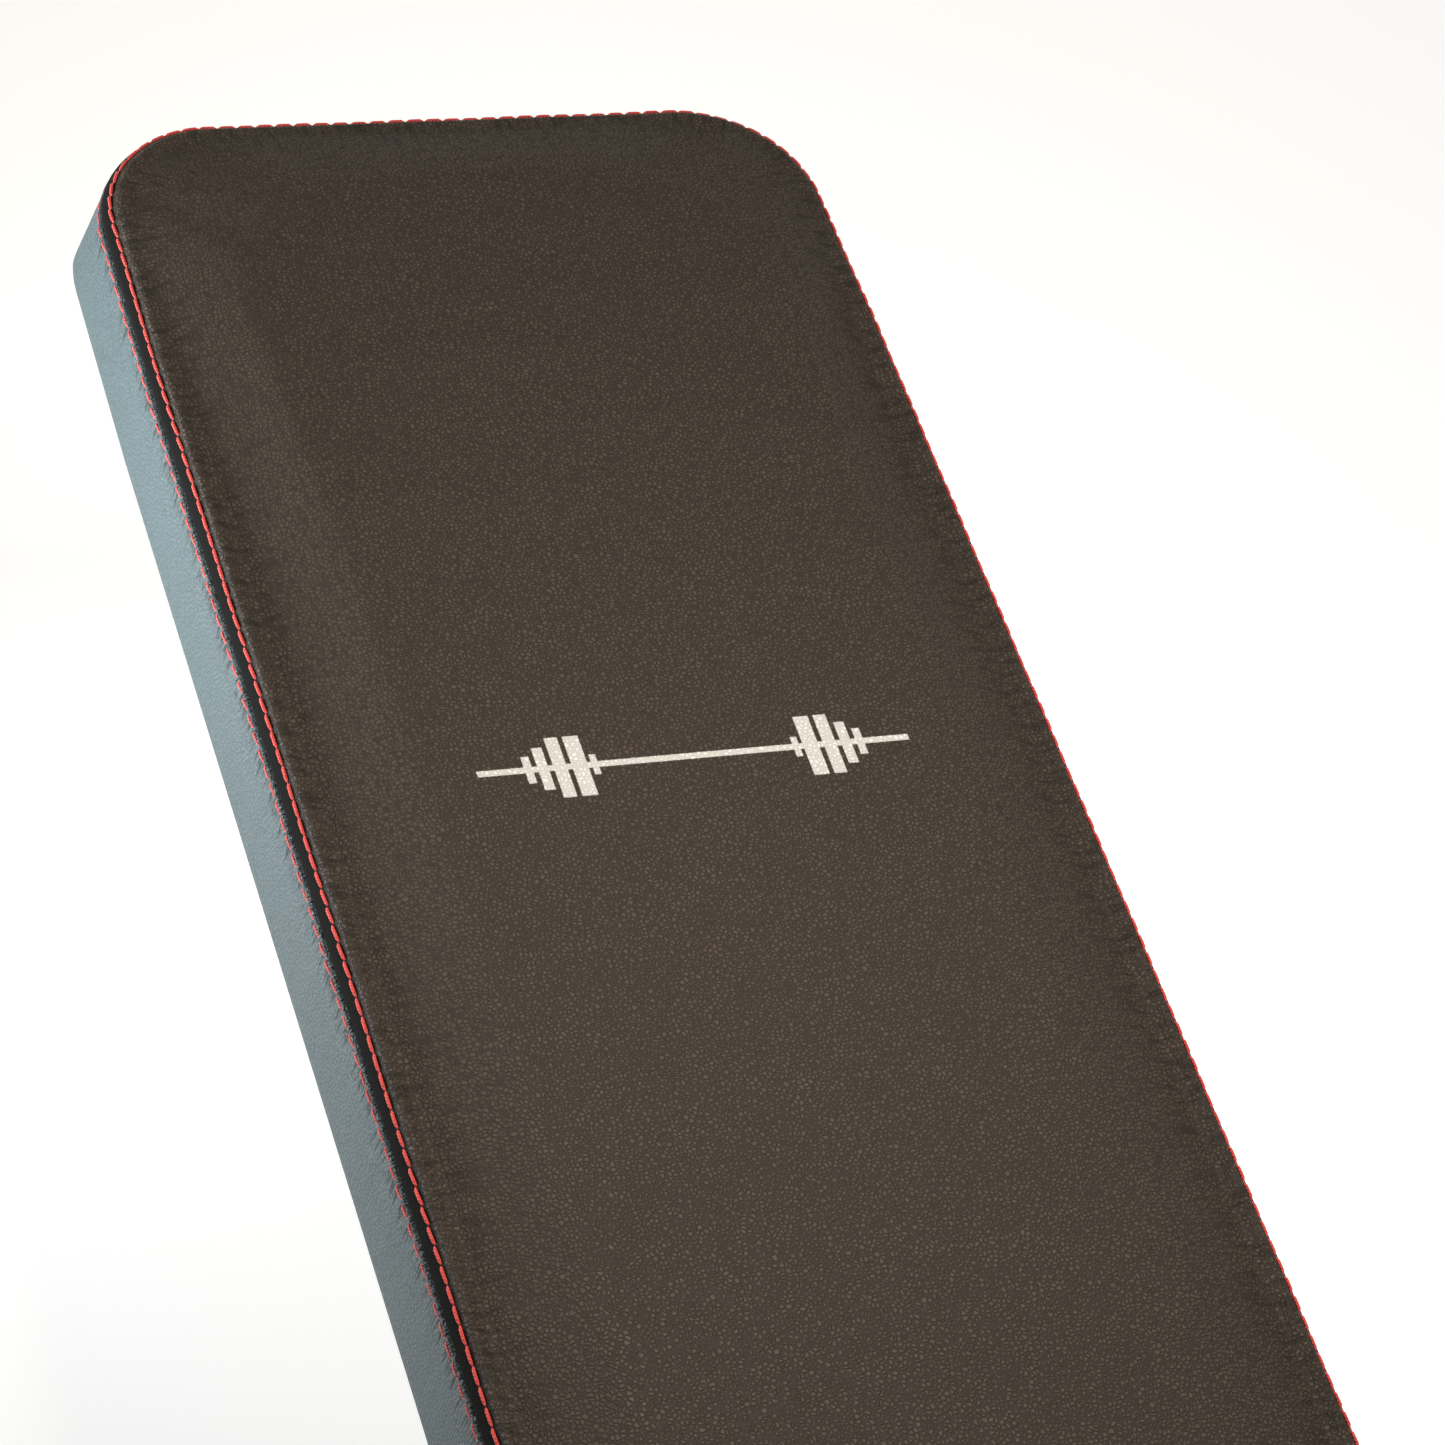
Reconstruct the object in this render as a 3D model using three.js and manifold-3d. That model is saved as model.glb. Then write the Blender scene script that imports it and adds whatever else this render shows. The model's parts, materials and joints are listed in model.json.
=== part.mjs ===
// Olympic flat bench press: an upholstered flat bench joined to a pair of raked uprights
// with three-tier bar racks, plate storage horns, a spotter platform and screw levelling feet.
//
// Millimetres, +Z up. X runs across the bench, Y runs along it: the foot end of the pad is at
// -Y and the uprights and the spotter platform are at +Y. The origin lies on the floor in the
// middle of the bench's footprint.
import * as THREE from "three";
import { mergeVertices } from "three/addons/utils/BufferGeometryUtils.js";
import Module from "manifold-3d";

const wasm = await Module();
wasm.setup();

// ---- Driving dimensions ------------------------------------------------------------------

const GAP = 0.3; // left between pieces that touch
const WALL = 3; // wall of every structural tube
const OVERALL_LENGTH = 1650;
const FOOT_END = -OVERALL_LENGTH / 2;
const HEAD_END = OVERALL_LENGTH / 2;

const PAD = {
  width: 300,
  length: 1220,
  corner: 52, // plan radius of the four corners
  side: 60, // height of the side wall, from the underside to the seam
  crown: 10, // rise of the foam above the seam
  crownInset: 36, // how far in from the seam the crown levels out
  top: 440, // height of the lying surface above the floor
  skin: 1.5, // thickness of the vinyl
  board: 15, // plywood base board
  tuck: 36, // vinyl folded under the board
};
const PAD_BOTTOM = PAD.top - PAD.crown - PAD.side;
const PAD_CENTRE_Y = FOOT_END + PAD.length / 2;

const BRACKET = { width: 210, length: 60, thickness: 5, boltSpacing: 140 };
const BRACKET_TOP = PAD_BOTTOM + PAD.skin; // meets the board between the tucked vinyl
const BRACKET_Y = { foot_end: -610, middle: -235, head_end: 110 };

const SPINE = { width: 60, height: 100, corner: 8, footEnd: -712 };
const SPINE_TOP = BRACKET_TOP - BRACKET.thickness - GAP;
const SPINE_Z = SPINE_TOP - SPINE.height / 2;
const SPINE_BOTTOM = SPINE_TOP - SPINE.height;
const FLANGE = { width: 150, thickness: 8 };

const CAP = { flange: 4, plug: 14, slack: 0.5 };

const FOOT_HEIGHT = 30; // floor to the underside of the base tubes
const FOOT_BEAM = { length: 472, depth: 60, height: 60, corner: 7, y: -375 };
const FOOT_BEAM_TOP = FOOT_HEIGHT + FOOT_BEAM.height;
const FRONT_LEG = { width: 60, depth: 80, corner: 8 };
const GUSSET = { thickness: 8, reach: 95, hollow: 20 };

const RUNNER = { x: 555, width: 60, height: 80, corner: 8, start: 56 };
const RUNNER_TOP = FOOT_HEIGHT + RUNNER.height;
const RUNNER_INNER_X = RUNNER.x - RUNNER.width / 2;

const UPRIGHT = { width: 60, depth: 100, corner: 9, length: 1082, footY: 190 };
const UPRIGHT_RAKE = THREE.MathUtils.degToRad(10);
const STRUT = { width: 50, depth: 50, corner: 6, footY: 755, length: 1000 };
const STRUT_RAKE = THREE.MathUtils.degToRad(27.5);

const CROSSBEAM = { depth: 60, corner: 8 };
const CROSSBEAM_Y = UPRIGHT.footY + (SPINE_Z - RUNNER_TOP) * Math.tan(UPRIGHT_RAKE);

const RACK = {
  thickness: 10,
  strip: 22, // back strip that is fixed along the face of the upright
  slot: 50, // bar slot, front to back, in the steel
  lip: 15,
  lipHeight: 30,
  seatRadius: 14,
  lipRadius: 6,
  shelfRear: 62, // shelf depth below the seat at the strip
  shelfFront: 22, // shelf depth below the seat at the lip
  firstSeat: 790, // distance of the lowest seat up the upright
  pitch: 110,
  tiers: 3,
  below: 78,
  above: 52,
};
const GUARD = { width: 40, thickness: 5 };

const HORN = { radius: 24, wall: 3, length: 205, nose: 8 };
const BUMPER = { radius: 45, thickness: 18 };
const HORN_HEIGHTS = { lower: 270, upper: 560 };

const PLATFORM = {
  beamSize: 60,
  frontBeamY: 500,
  rearBeamY: 760,
  deckWidth: 620,
  deckLength: 350,
  deckThickness: 5,
  matThickness: 8,
  matMargin: 14,
};

const LEVELLER = {
  padRadius: 27,
  padHeight: 16,
  padTopRadius: 20,
  socketRadius: 8,
  socketDepth: 9,
  stemRadius: 6,
  ballRadius: 7.5,
  boreRadius: 6.4,
  bossRadius: 13,
  bossHeight: 24,
  hexAcross: 22,
  hexBase: 17,
  hexHeight: 6,
  top: 62,
  sides: 16,
};
const FEET = {
  front_left: [-200, FOOT_BEAM.y],
  front_right: [200, FOOT_BEAM.y],
  middle_left: [-RUNNER.x, 100],
  middle_right: [RUNNER.x, 100],
  rear_left: [-RUNNER.x, 785],
  rear_right: [RUNNER.x, 785],
};

const BOLT = { radius: 4, holeRadius: 4.5, hexAcross: 13, headHeight: 6, length: 26, recess: 30 };

// ---- Materials ---------------------------------------------------------------------------

const finish = (color, roughness, metalness = 0) =>
  new THREE.MeshStandardMaterial({ color, roughness, metalness });
const POWDER_COAT = finish(0x24272a, 0.5, 0.2);
const VINYL = finish(0x3b3631, 0.45);
const FOAM = finish(0xd9cf9a, 0.95);
const PLYWOOD = finish(0xb08a58, 0.8);
const PLASTIC = finish(0x161718, 0.55);
const WEAR_PLASTIC = finish(0x1d1e20, 0.4);
const CHROME = finish(0xc8ccd0, 0.15, 1);
const RUBBER = finish(0x141414, 0.85);
const TREAD_PLATE = finish(0x2b2e31, 0.55, 0.4);
const ZINC = finish(0xb9bdc0, 0.35, 1);

// ---- Solids ------------------------------------------------------------------------------

// A closed geometry as a solid that can be joined and cut.
function solidOf(geometry) {
  const bare = geometry.clone();
  bare.deleteAttribute("normal");
  bare.deleteAttribute("uv");
  const merged = mergeVertices(bare, 1e-4);
  return new wasm.Manifold(
    new wasm.Mesh({
      numProp: 3,
      vertProperties: merged.attributes.position.array,
      triVerts: new Uint32Array(merged.index.array),
    }),
  );
}

function geometryOf(solid) {
  const made = solid.getMesh();
  const geometry = new THREE.BufferGeometry();
  geometry.setAttribute("position", new THREE.BufferAttribute(made.vertProperties, 3));
  geometry.setIndex(new THREE.BufferAttribute(made.triVerts, 1));
  return geometry;
}

const cut = (body, ...tools) =>
  geometryOf(tools.reduce((rest, tool) => rest.subtract(solidOf(tool)), solidOf(body)));
const join = (...bodies) =>
  geometryOf(bodies.map(solidOf).reduce((all, body) => all.add(body)));

// A rectangle with rounded corners, centred on the origin, added to a Shape or a hole.
function roundedRect(path, width, height, radius) {
  const x = width / 2 - radius;
  const y = height / 2 - radius;
  const quarter = Math.PI / 2;
  path.moveTo(x + radius, -y);
  path.absarc(x, y, radius, 0, quarter);
  path.absarc(-x, y, radius, quarter, 2 * quarter);
  path.absarc(-x, -y, radius, 2 * quarter, 3 * quarter);
  path.absarc(x, -y, radius, 3 * quarter, 4 * quarter);
  path.closePath();
  return path;
}

function extrude(shape, depth, curveSegments = 3) {
  return new THREE.ExtrudeGeometry(shape, { depth, curveSegments, bevelEnabled: false });
}

// A rounded rectangular bar or tube that rises along +Z from the origin.
function bar(width, depth, corner, length) {
  return extrude(roundedRect(new THREE.Shape(), width, depth, corner), length);
}

function tube(width, depth, corner, length) {
  const shape = roundedRect(new THREE.Shape(), width, depth, corner);
  const inside = roundedRect(
    new THREE.Path(),
    width - 2 * WALL,
    depth - 2 * WALL,
    corner - WALL,
  );
  shape.holes.push(inside);
  return extrude(shape, length);
}

function cylinder(radius, length, sides = LEVELLER.sides) {
  return new THREE.CylinderGeometry(radius, radius, length, sides)
    .rotateX(Math.PI / 2)
    .translate(0, 0, length / 2);
}

function hexagon(across, height) {
  const radius = across / Math.sqrt(3);
  return new THREE.CylinderGeometry(radius, radius, height, 6)
    .rotateX(Math.PI / 2)
    .translate(0, 0, height / 2);
}

// The plug that closes the end of a tube: a rounded flange outside and a plug inside.
// The flange faces +Z and the tube ends at z = 0.
function endCap(width, depth, corner) {
  const inner = 2 * (WALL + CAP.slack);
  const flange = bar(width, depth, corner, CAP.flange).translate(0, 0, GAP);
  const plug = bar(
    width - inner,
    depth - inner,
    Math.max(corner - WALL - CAP.slack, 1),
    CAP.plug + GAP + 1,
  ).translate(0, 0, -CAP.plug);
  return join(flange, plug);
}

const alongX = new THREE.Matrix4().makeBasis(
  new THREE.Vector3(0, 1, 0),
  new THREE.Vector3(0, 0, 1),
  new THREE.Vector3(1, 0, 0),
);
const alongY = new THREE.Matrix4().makeBasis(
  new THREE.Vector3(0, 0, 1),
  new THREE.Vector3(1, 0, 0),
  new THREE.Vector3(0, 1, 0),
);

// ---- Scene helpers -----------------------------------------------------------------------

const bench = new THREE.Group();

function place(parent, name, geometry, material, x = 0, y = 0, z = 0) {
  const mesh = new THREE.Mesh(geometry, material);
  mesh.name = name;
  mesh.position.set(x, y, z);
  parent.add(mesh);
  return mesh;
}

const SIDES = { left: -1, right: 1 };

// ---- Pad ---------------------------------------------------------------------------------

// The pad's block, from z = 0 up, drawn in from its outline on every side. Its top edge is
// a crown that rounds over from the side wall to the flat lying surface.
function padBlock(inset, wallHeight, crown, crownInset) {
  const shape = roundedRect(
    new THREE.Shape(),
    PAD.width - 2 * inset,
    PAD.length - 2 * inset,
    PAD.corner - inset,
  );
  const block = new THREE.ExtrudeGeometry(shape, {
    depth: 2 * wallHeight,
    curveSegments: 6,
    bevelThickness: crown,
    bevelSize: crownInset,
    bevelOffset: -crownInset,
    bevelSegments: 3,
  }).translate(0, 0, -wallHeight);
  const below = new THREE.BoxGeometry(PAD.width, PAD.length, 4 * wallHeight);
  return cut(block, below.translate(0, 0, -2 * wallHeight));
}

function padPlate(inset, thickness) {
  const shape = roundedRect(
    new THREE.Shape(),
    PAD.width - 2 * inset,
    PAD.length - 2 * inset,
    PAD.corner - inset,
  );
  return extrude(shape, thickness, 6);
}

function boltHoles(depth, ...heights) {
  const holes = [];
  for (const y of heights)
    for (const side of [-1, 1])
      holes.push(
        cylinder(BOLT.holeRadius, depth, 12).translate(
          (side * BRACKET.boltSpacing) / 2,
          y,
          -depth / 2,
        ),
      );
  return holes;
}

function addPad() {
  const group = new THREE.Group();
  group.position.set(0, PAD_CENTRE_Y, PAD_BOTTOM);
  bench.add(group);
  const inside = PAD.skin + GAP;

  const outer = padBlock(0, PAD.side, PAD.crown, PAD.crownInset);
  const cavity = padBlock(PAD.skin, PAD.side - 2 * PAD.skin, PAD.crown, PAD.crownInset);
  const opening = padPlate(PAD.tuck, 4 * PAD.skin);
  place(
    group,
    "pad_cover",
    cut(outer, cavity.translate(0, 0, PAD.skin), opening.translate(0, 0, -2 * PAD.skin)),
    VINYL,
  );

  const bolted = [BRACKET_Y.foot_end - PAD_CENTRE_Y, BRACKET_Y.head_end - PAD_CENTRE_Y];
  const board = padPlate(inside + 1, PAD.board);
  place(group, "pad_board", cut(board, ...boltHoles(60, ...bolted)), PLYWOOD, 0, 0, inside);

  const foamBase = inside + PAD.board + GAP;
  const foamWall = PAD.side - PAD.skin - GAP - foamBase;
  const foam = padBlock(inside, foamWall, PAD.crown, PAD.crownInset);
  const recess = new THREE.BoxGeometry(
    BRACKET.boltSpacing + BOLT.recess,
    BOLT.recess,
    2 * (BOLT.length - PAD.board),
  );
  const recesses = bolted.map((y) => recess.clone().translate(0, y, 0));
  place(group, "pad_foam", cut(foam, ...recesses), FOAM, 0, 0, foamBase);
}

function addPadBrackets() {
  const plate = () => bar(BRACKET.width, BRACKET.length, 8, BRACKET.thickness);
  const bottom = BRACKET_TOP - BRACKET.thickness;
  for (const [where, y] of Object.entries(BRACKET_Y)) {
    const isBolted = where !== "middle";
    const geometry = isBolted ? cut(plate(), ...boltHoles(60, 0)) : plate();
    place(bench, `${where}_pad_bracket`, geometry, POWDER_COAT, 0, y, bottom);
    if (isBolted) addPadBolts(where, y, bottom);
  }
}

function addPadBolts(where, y, bottom) {
  for (const [name, side] of Object.entries(SIDES)) {
    const head = hexagon(BOLT.hexAcross, BOLT.headHeight).translate(0, 0, -BOLT.headHeight);
    const shank = cylinder(BOLT.radius, BOLT.length + 1, 12).translate(0, 0, -1);
    const x = (side * BRACKET.boltSpacing) / 2;
    place(bench, `${where}_pad_bolt_${name}`, join(head, shank), ZINC, x, y, bottom - GAP);
  }
}

// ---- Bench frame -------------------------------------------------------------------------

function addSpine() {
  const rear = CROSSBEAM_Y - CROSSBEAM.depth / 2 - GAP - FLANGE.thickness - GAP;
  const geometry = tube(SPINE.height, SPINE.width, SPINE.corner, rear - SPINE.footEnd);
  place(bench, "spine_beam", geometry.applyMatrix4(alongY), POWDER_COAT, 0, SPINE.footEnd, SPINE_Z);

  const flange = bar(SPINE.height, FLANGE.width, 10, FLANGE.thickness).applyMatrix4(alongY);
  place(bench, "spine_flange", flange, POWDER_COAT, 0, rear + GAP, SPINE_Z);

  const cap = endCap(SPINE.width, SPINE.height, SPINE.corner).rotateX(Math.PI / 2);
  place(bench, "spine_end_cap", cap, PLASTIC, 0, SPINE.footEnd, SPINE_Z);
}

function addFrontLeg() {
  const z = FOOT_HEIGHT + FOOT_BEAM.height / 2;
  const { length, depth, height, corner, y } = FOOT_BEAM;
  const beam = tube(depth, height, corner, length)
    .translate(0, 0, -length / 2)
    .applyMatrix4(alongX);
  const bosses = [FEET.front_left, FEET.front_right].map(([x]) => [x, 0]);
  place(bench, "front_foot_beam", withBosses(beam, height, bosses), POWDER_COAT, 0, y, z);
  for (const [name, side] of Object.entries(SIDES)) {
    const cap = endCap(height, depth, corner).rotateY((side * Math.PI) / 2);
    place(bench, `front_foot_cap_${name}`, cap, PLASTIC, (side * length) / 2, y, z);
  }

  const legHeight = SPINE_BOTTOM - FOOT_BEAM_TOP - 2 * GAP;
  const leg = tube(FRONT_LEG.width, FRONT_LEG.depth, FRONT_LEG.corner, legHeight);
  place(bench, "front_leg", leg, POWDER_COAT, 0, y, FOOT_BEAM_TOP + GAP);

  const brace = new THREE.Shape();
  brace.moveTo(0, 0);
  brace.lineTo(GUSSET.reach, 0);
  brace.quadraticCurveTo(GUSSET.hollow, -GUSSET.hollow, 0, -GUSSET.reach);
  brace.closePath();
  const gusset = extrude(brace, GUSSET.thickness, 6)
    .translate(0, 0, -GUSSET.thickness / 2)
    .applyMatrix4(alongX);
  const gussetY = y + FRONT_LEG.depth / 2 + GAP;
  place(bench, "front_leg_gusset", gusset, POWDER_COAT, 0, gussetY, SPINE_BOTTOM - GAP);
}

// Threaded bosses, inside a base tube, that take the stems of the levelling feet. The tube is
// centred on its own section, and each boss is given by its [x, y] in the tube's frame.
function withBosses(tubeGeometry, height, bosses) {
  const { bossRadius, bossHeight, boreRadius } = LEVELLER;
  const floor = -height / 2;
  let body = solidOf(tubeGeometry);
  for (const [x, y] of bosses) {
    const boss = cylinder(bossRadius, bossHeight).translate(x, y, floor + WALL / 2);
    const bore = cylinder(boreRadius, 2 * bossHeight).translate(x, y, floor - WALL);
    body = body.add(solidOf(boss)).subtract(solidOf(bore));
  }
  return geometryOf(body);
}

// ---- Rear frames -------------------------------------------------------------------------

function addRunner(name, side) {
  const { x, width, height, corner, start } = RUNNER;
  const end = HEAD_END - CAP.flange - GAP;
  const middle = (start + end) / 2;
  const length = end - start;
  const geometry = tube(height, width, corner, length)
    .translate(0, 0, -length / 2)
    .applyMatrix4(alongY);
  const bosses = [FEET.middle_left, FEET.rear_left].map(([, y]) => [0, y - middle]);
  const z = FOOT_HEIGHT + height / 2;
  const runner = withBosses(geometry, height, bosses);
  place(bench, `${name}_base_runner`, runner, POWDER_COAT, side * x, middle, z);
  const capAt = (turn) => endCap(width, height, corner).rotateX(turn);
  place(bench, `${name}_runner_front_cap`, capAt(Math.PI / 2), PLASTIC, side * x, start, z);
  place(bench, `${name}_runner_rear_cap`, capAt(-Math.PI / 2), PLASTIC, side * x, end, z);
}

// A slab that stands for everything below the top of the runner, as seen from a frame that
// stands on the runner and is turned about X by the given angle.
function belowRunner(turn) {
  return new THREE.BoxGeometry(200, 500, 200).translate(0, 0, GAP - 100).rotateX(-turn);
}

function addUpright(name, side) {
  const group = new THREE.Group();
  group.position.set(side * RUNNER.x, UPRIGHT.footY, RUNNER_TOP);
  group.rotation.x = -UPRIGHT_RAKE;
  bench.add(group);
  const { width, depth, corner, length } = UPRIGHT;
  const column = tube(width, depth, corner, length + 60).translate(0, 0, -60);
  place(group, `${name}_upright`, cut(column, belowRunner(-UPRIGHT_RAKE)), POWDER_COAT);
  place(group, `${name}_upright_cap`, endCap(width, depth, corner), PLASTIC, 0, 0, length);
  addRack(name, group);
  return group;
}

function addStrut(name, side, upright) {
  const group = new THREE.Group();
  group.position.set(side * RUNNER.x, STRUT.footY, RUNNER_TOP);
  group.rotation.x = STRUT_RAKE;
  bench.add(group);
  bench.updateMatrixWorld(true);

  const ahead = new THREE.BoxGeometry(200, 800, 3000)
    .translate(0, UPRIGHT.depth / 2 + GAP - 400, 0)
    .applyMatrix4(upright.matrixWorld)
    .applyMatrix4(group.matrixWorld.clone().invert());
  const column = tube(STRUT.width, STRUT.depth, STRUT.corner, STRUT.length + 60)
    .translate(0, 0, -60);
  const strut = cut(column, belowRunner(STRUT_RAKE), ahead);
  place(group, `${name}_rear_strut`, strut, POWDER_COAT);

  for (const [level, height] of Object.entries(HORN_HEIGHTS)) {
    const up = (height - RUNNER_TOP) / Math.cos(STRUT_RAKE);
    addHorn(group, `${name}_${level}`, side, up);
  }
}

// ---- Bar racks ---------------------------------------------------------------------------

// The front edge of the rack, from the top down, as points of (reach in front of the upright,
// distance up it). Round corners are arcs.
function rackEdge() {
  const { strip, slot, lip, lipHeight, seatRadius, lipRadius } = RACK;
  const { shelfRear, shelfFront, firstSeat, pitch, tiers, below, above } = RACK;
  const points = [];
  const arc = (x, y, radius, from, to, steps) => {
    for (let i = 0; i <= steps; i++) {
      const a = THREE.MathUtils.degToRad(from + ((to - from) * i) / steps);
      points.push(new THREE.Vector2(x + radius * Math.cos(a), y + radius * Math.sin(a)));
    }
  };
  const lipFront = strip + slot + lip;
  points.push(new THREE.Vector2(strip, firstSeat + (tiers - 1) * pitch + above));
  for (let tier = tiers - 1; tier >= 0; tier--) {
    const seat = firstSeat + tier * pitch;
    arc(strip + seatRadius, seat + seatRadius, seatRadius, 180, 270, 3);
    arc(strip + slot - seatRadius, seat + seatRadius, seatRadius, 270, 360, 3);
    const tip = seat + lipHeight - lipRadius;
    arc(strip + slot + lipRadius, tip, lipRadius, 180, 90, 2);
    arc(lipFront - lipRadius, tip, lipRadius, 90, 0, 2);
    points.push(new THREE.Vector2(lipFront, seat - shelfFront));
    points.push(new THREE.Vector2(strip, seat - shelfRear));
  }
  points.push(new THREE.Vector2(strip, firstSeat - below));
  return points;
}

// An open line of points moved sideways, to the left of the way it runs.
function offset(points, distance) {
  const normals = points.slice(1).map((p, i) => {
    const along = p.clone().sub(points[i]).normalize();
    return new THREE.Vector2(-along.y, along.x);
  });
  return points.map((p, i) => {
    const before = normals[Math.max(i - 1, 0)];
    const after = normals[Math.min(i, normals.length - 1)];
    const mitre = before.clone().add(after).divideScalar(1 + before.dot(after));
    return p.clone().addScaledVector(mitre, distance);
  });
}

// Turns a drawing of (reach in front, distance up) into a plate that is centred across the
// upright and stands off its front face.
function frontProfile(points, thickness) {
  const toUpright = new THREE.Matrix4().makeBasis(
    new THREE.Vector3(0, -1, 0),
    new THREE.Vector3(0, 0, 1),
    new THREE.Vector3(-1, 0, 0),
  );
  return extrude(new THREE.Shape(points), thickness)
    .translate(0, 0, -thickness / 2)
    .applyMatrix4(toUpright)
    .translate(0, -UPRIGHT.depth / 2 - GAP, 0);
}

function addRack(name, group) {
  const edge = rackEdge();
  const top = edge[0].y;
  const bottom = edge[edge.length - 1].y;
  const plate = [new THREE.Vector2(0, top), new THREE.Vector2(0, bottom), ...[...edge].reverse()];
  place(group, `${name}_bar_rack`, frontProfile(plate, RACK.thickness), POWDER_COAT);

  const inner = offset(edge, GAP);
  const outer = offset(edge, GAP + GUARD.thickness);
  const guard = frontProfile([...outer, ...inner.reverse()], GUARD.width);
  place(group, `${name}_rack_guard`, guard, WEAR_PLASTIC);
}

// ---- Plate storage -----------------------------------------------------------------------

function addHorn(group, name, side, up) {
  const { radius, wall, length, nose } = HORN;
  const point = (r, x) => new THREE.Vector2(r, x);
  const profile = [
    point(radius - wall, 0),
    point(radius, 0),
    point(radius, length - nose),
    point(radius - nose * 0.3, length - nose * 0.3),
    point(radius - nose, length),
    point(0, length),
    point(0, length - wall),
    point(radius - nose, length - wall),
    point(radius - wall, length - nose),
    point(radius - wall, 0),
  ];
  const turned = (geometry) => geometry.rotateZ((-side * Math.PI) / 2);
  const x = side * (STRUT.width / 2 + GAP);
  const horn = turned(new THREE.LatheGeometry(profile, 24));
  place(group, `${name}_plate_horn`, horn, CHROME, x, 0, up);

  const bore = radius + GAP;
  const ring = [
    point(bore, 0),
    point(BUMPER.radius - 3, 0),
    point(BUMPER.radius, 3),
    point(BUMPER.radius, BUMPER.thickness - 5),
    point(BUMPER.radius - 5, BUMPER.thickness),
    point(bore, BUMPER.thickness),
    point(bore, 0),
  ];
  const bumper = turned(new THREE.LatheGeometry(ring, 24));
  place(group, `${name}_horn_bumper`, bumper, RUBBER, x, 0, up);
}

// ---- Cross members and spotter platform --------------------------------------------------

function addCrossMembers() {
  const span = 2 * (RUNNER_INNER_X - GAP);
  const across = (depth, height, corner) =>
    tube(depth, height, corner, span).translate(0, 0, -span / 2).applyMatrix4(alongX);
  const upper = across(CROSSBEAM.depth, SPINE.height, CROSSBEAM.corner);
  place(bench, "upper_crossbeam", upper, POWDER_COAT, 0, CROSSBEAM_Y, SPINE_Z);

  const size = PLATFORM.beamSize;
  const z = RUNNER_TOP - size / 2;
  for (const [name, y] of [["front", PLATFORM.frontBeamY], ["rear", PLATFORM.rearBeamY]])
    place(bench, `${name}_platform_beam`, across(size, size, 7), POWDER_COAT, 0, y, z);
}

function addPlatform() {
  const { deckWidth, deckLength, deckThickness, matThickness, matMargin } = PLATFORM;
  const y = (PLATFORM.frontBeamY + PLATFORM.rearBeamY) / 2;
  const deckBase = RUNNER_TOP + GAP;
  const deck = bar(deckWidth, deckLength, 18, deckThickness);
  place(bench, "spotter_deck", deck, TREAD_PLATE, 0, y, deckBase);
  const mat = bar(deckWidth - 2 * matMargin, deckLength - 2 * matMargin, 12, matThickness);
  place(bench, "spotter_mat", mat, RUBBER, 0, y, deckBase + deckThickness + GAP);
}

// ---- Levelling feet ----------------------------------------------------------------------

function addLevellers() {
  const { padRadius, padHeight, padTopRadius, socketRadius, socketDepth } = LEVELLER;
  const { stemRadius, ballRadius, hexAcross, hexBase, hexHeight, top, sides } = LEVELLER;
  const point = (r, z) => new THREE.Vector2(r, z);
  const lathe = (profile) => new THREE.LatheGeometry(profile, sides).rotateX(Math.PI / 2);
  const socketFloor = padHeight - socketDepth;
  for (const [name, [x, y]] of Object.entries(FEET)) {
    const pad = lathe([
      point(0, 0),
      point(padRadius - 2, 0),
      point(padRadius, 2),
      point(padRadius, 6),
      point(padTopRadius, padHeight),
      point(socketRadius, padHeight),
      point(socketRadius, socketFloor),
      point(0, socketFloor),
    ]);
    place(bench, `${name}_leveller_pad`, pad, RUBBER, x, y, 0);

    const stem = lathe([
      point(0, socketFloor + GAP),
      point(ballRadius, socketFloor + GAP),
      point(ballRadius, socketFloor + 5),
      point(stemRadius, hexBase - 2),
      point(stemRadius, top - 1),
      point(stemRadius - 1, top),
      point(0, top),
    ]);
    const nut = hexagon(hexAcross, hexHeight).translate(0, 0, hexBase);
    place(bench, `${name}_leveller_stem`, join(stem, nut), ZINC, x, y, 0);
  }
}

// ---- Assembly ----------------------------------------------------------------------------

addPad();
addPadBrackets();
addSpine();
addFrontLeg();
for (const [name, side] of Object.entries(SIDES)) {
  addRunner(name, side);
  const upright = addUpright(name, side);
  addStrut(name, side, upright);
}
addCrossMembers();
addPlatform();
addLevellers();

export default bench;
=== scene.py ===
"""Looks of the olympic bench press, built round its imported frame.

Laid out as an add-on: each operator makes one group of pieces, and main() calls them in order.
"""

import json
import math

import bmesh
import bpy
from bpy.props import FloatProperty, FloatVectorProperty, PointerProperty
from mathutils import Matrix, Vector
from mathutils.bvhtree import BVHTree


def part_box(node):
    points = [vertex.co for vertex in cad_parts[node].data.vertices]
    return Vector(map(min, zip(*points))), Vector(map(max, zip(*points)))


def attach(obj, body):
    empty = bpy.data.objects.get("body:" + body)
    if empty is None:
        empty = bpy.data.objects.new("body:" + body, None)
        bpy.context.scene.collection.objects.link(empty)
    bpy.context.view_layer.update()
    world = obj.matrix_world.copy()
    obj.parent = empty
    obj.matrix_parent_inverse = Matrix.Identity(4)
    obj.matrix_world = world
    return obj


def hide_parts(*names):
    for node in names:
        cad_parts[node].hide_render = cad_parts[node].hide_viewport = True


bl_info = {
    "name": "Olympic Bench Press",
    "version": (1, 0, 0),
    "blender": (4, 5, 0),
    "location": "View3D > Sidebar > Bench Press",
    "description": "Makes the upholstery, fasteners, welds and finishes of an olympic bench press",
    "category": "Object",
}

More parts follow.
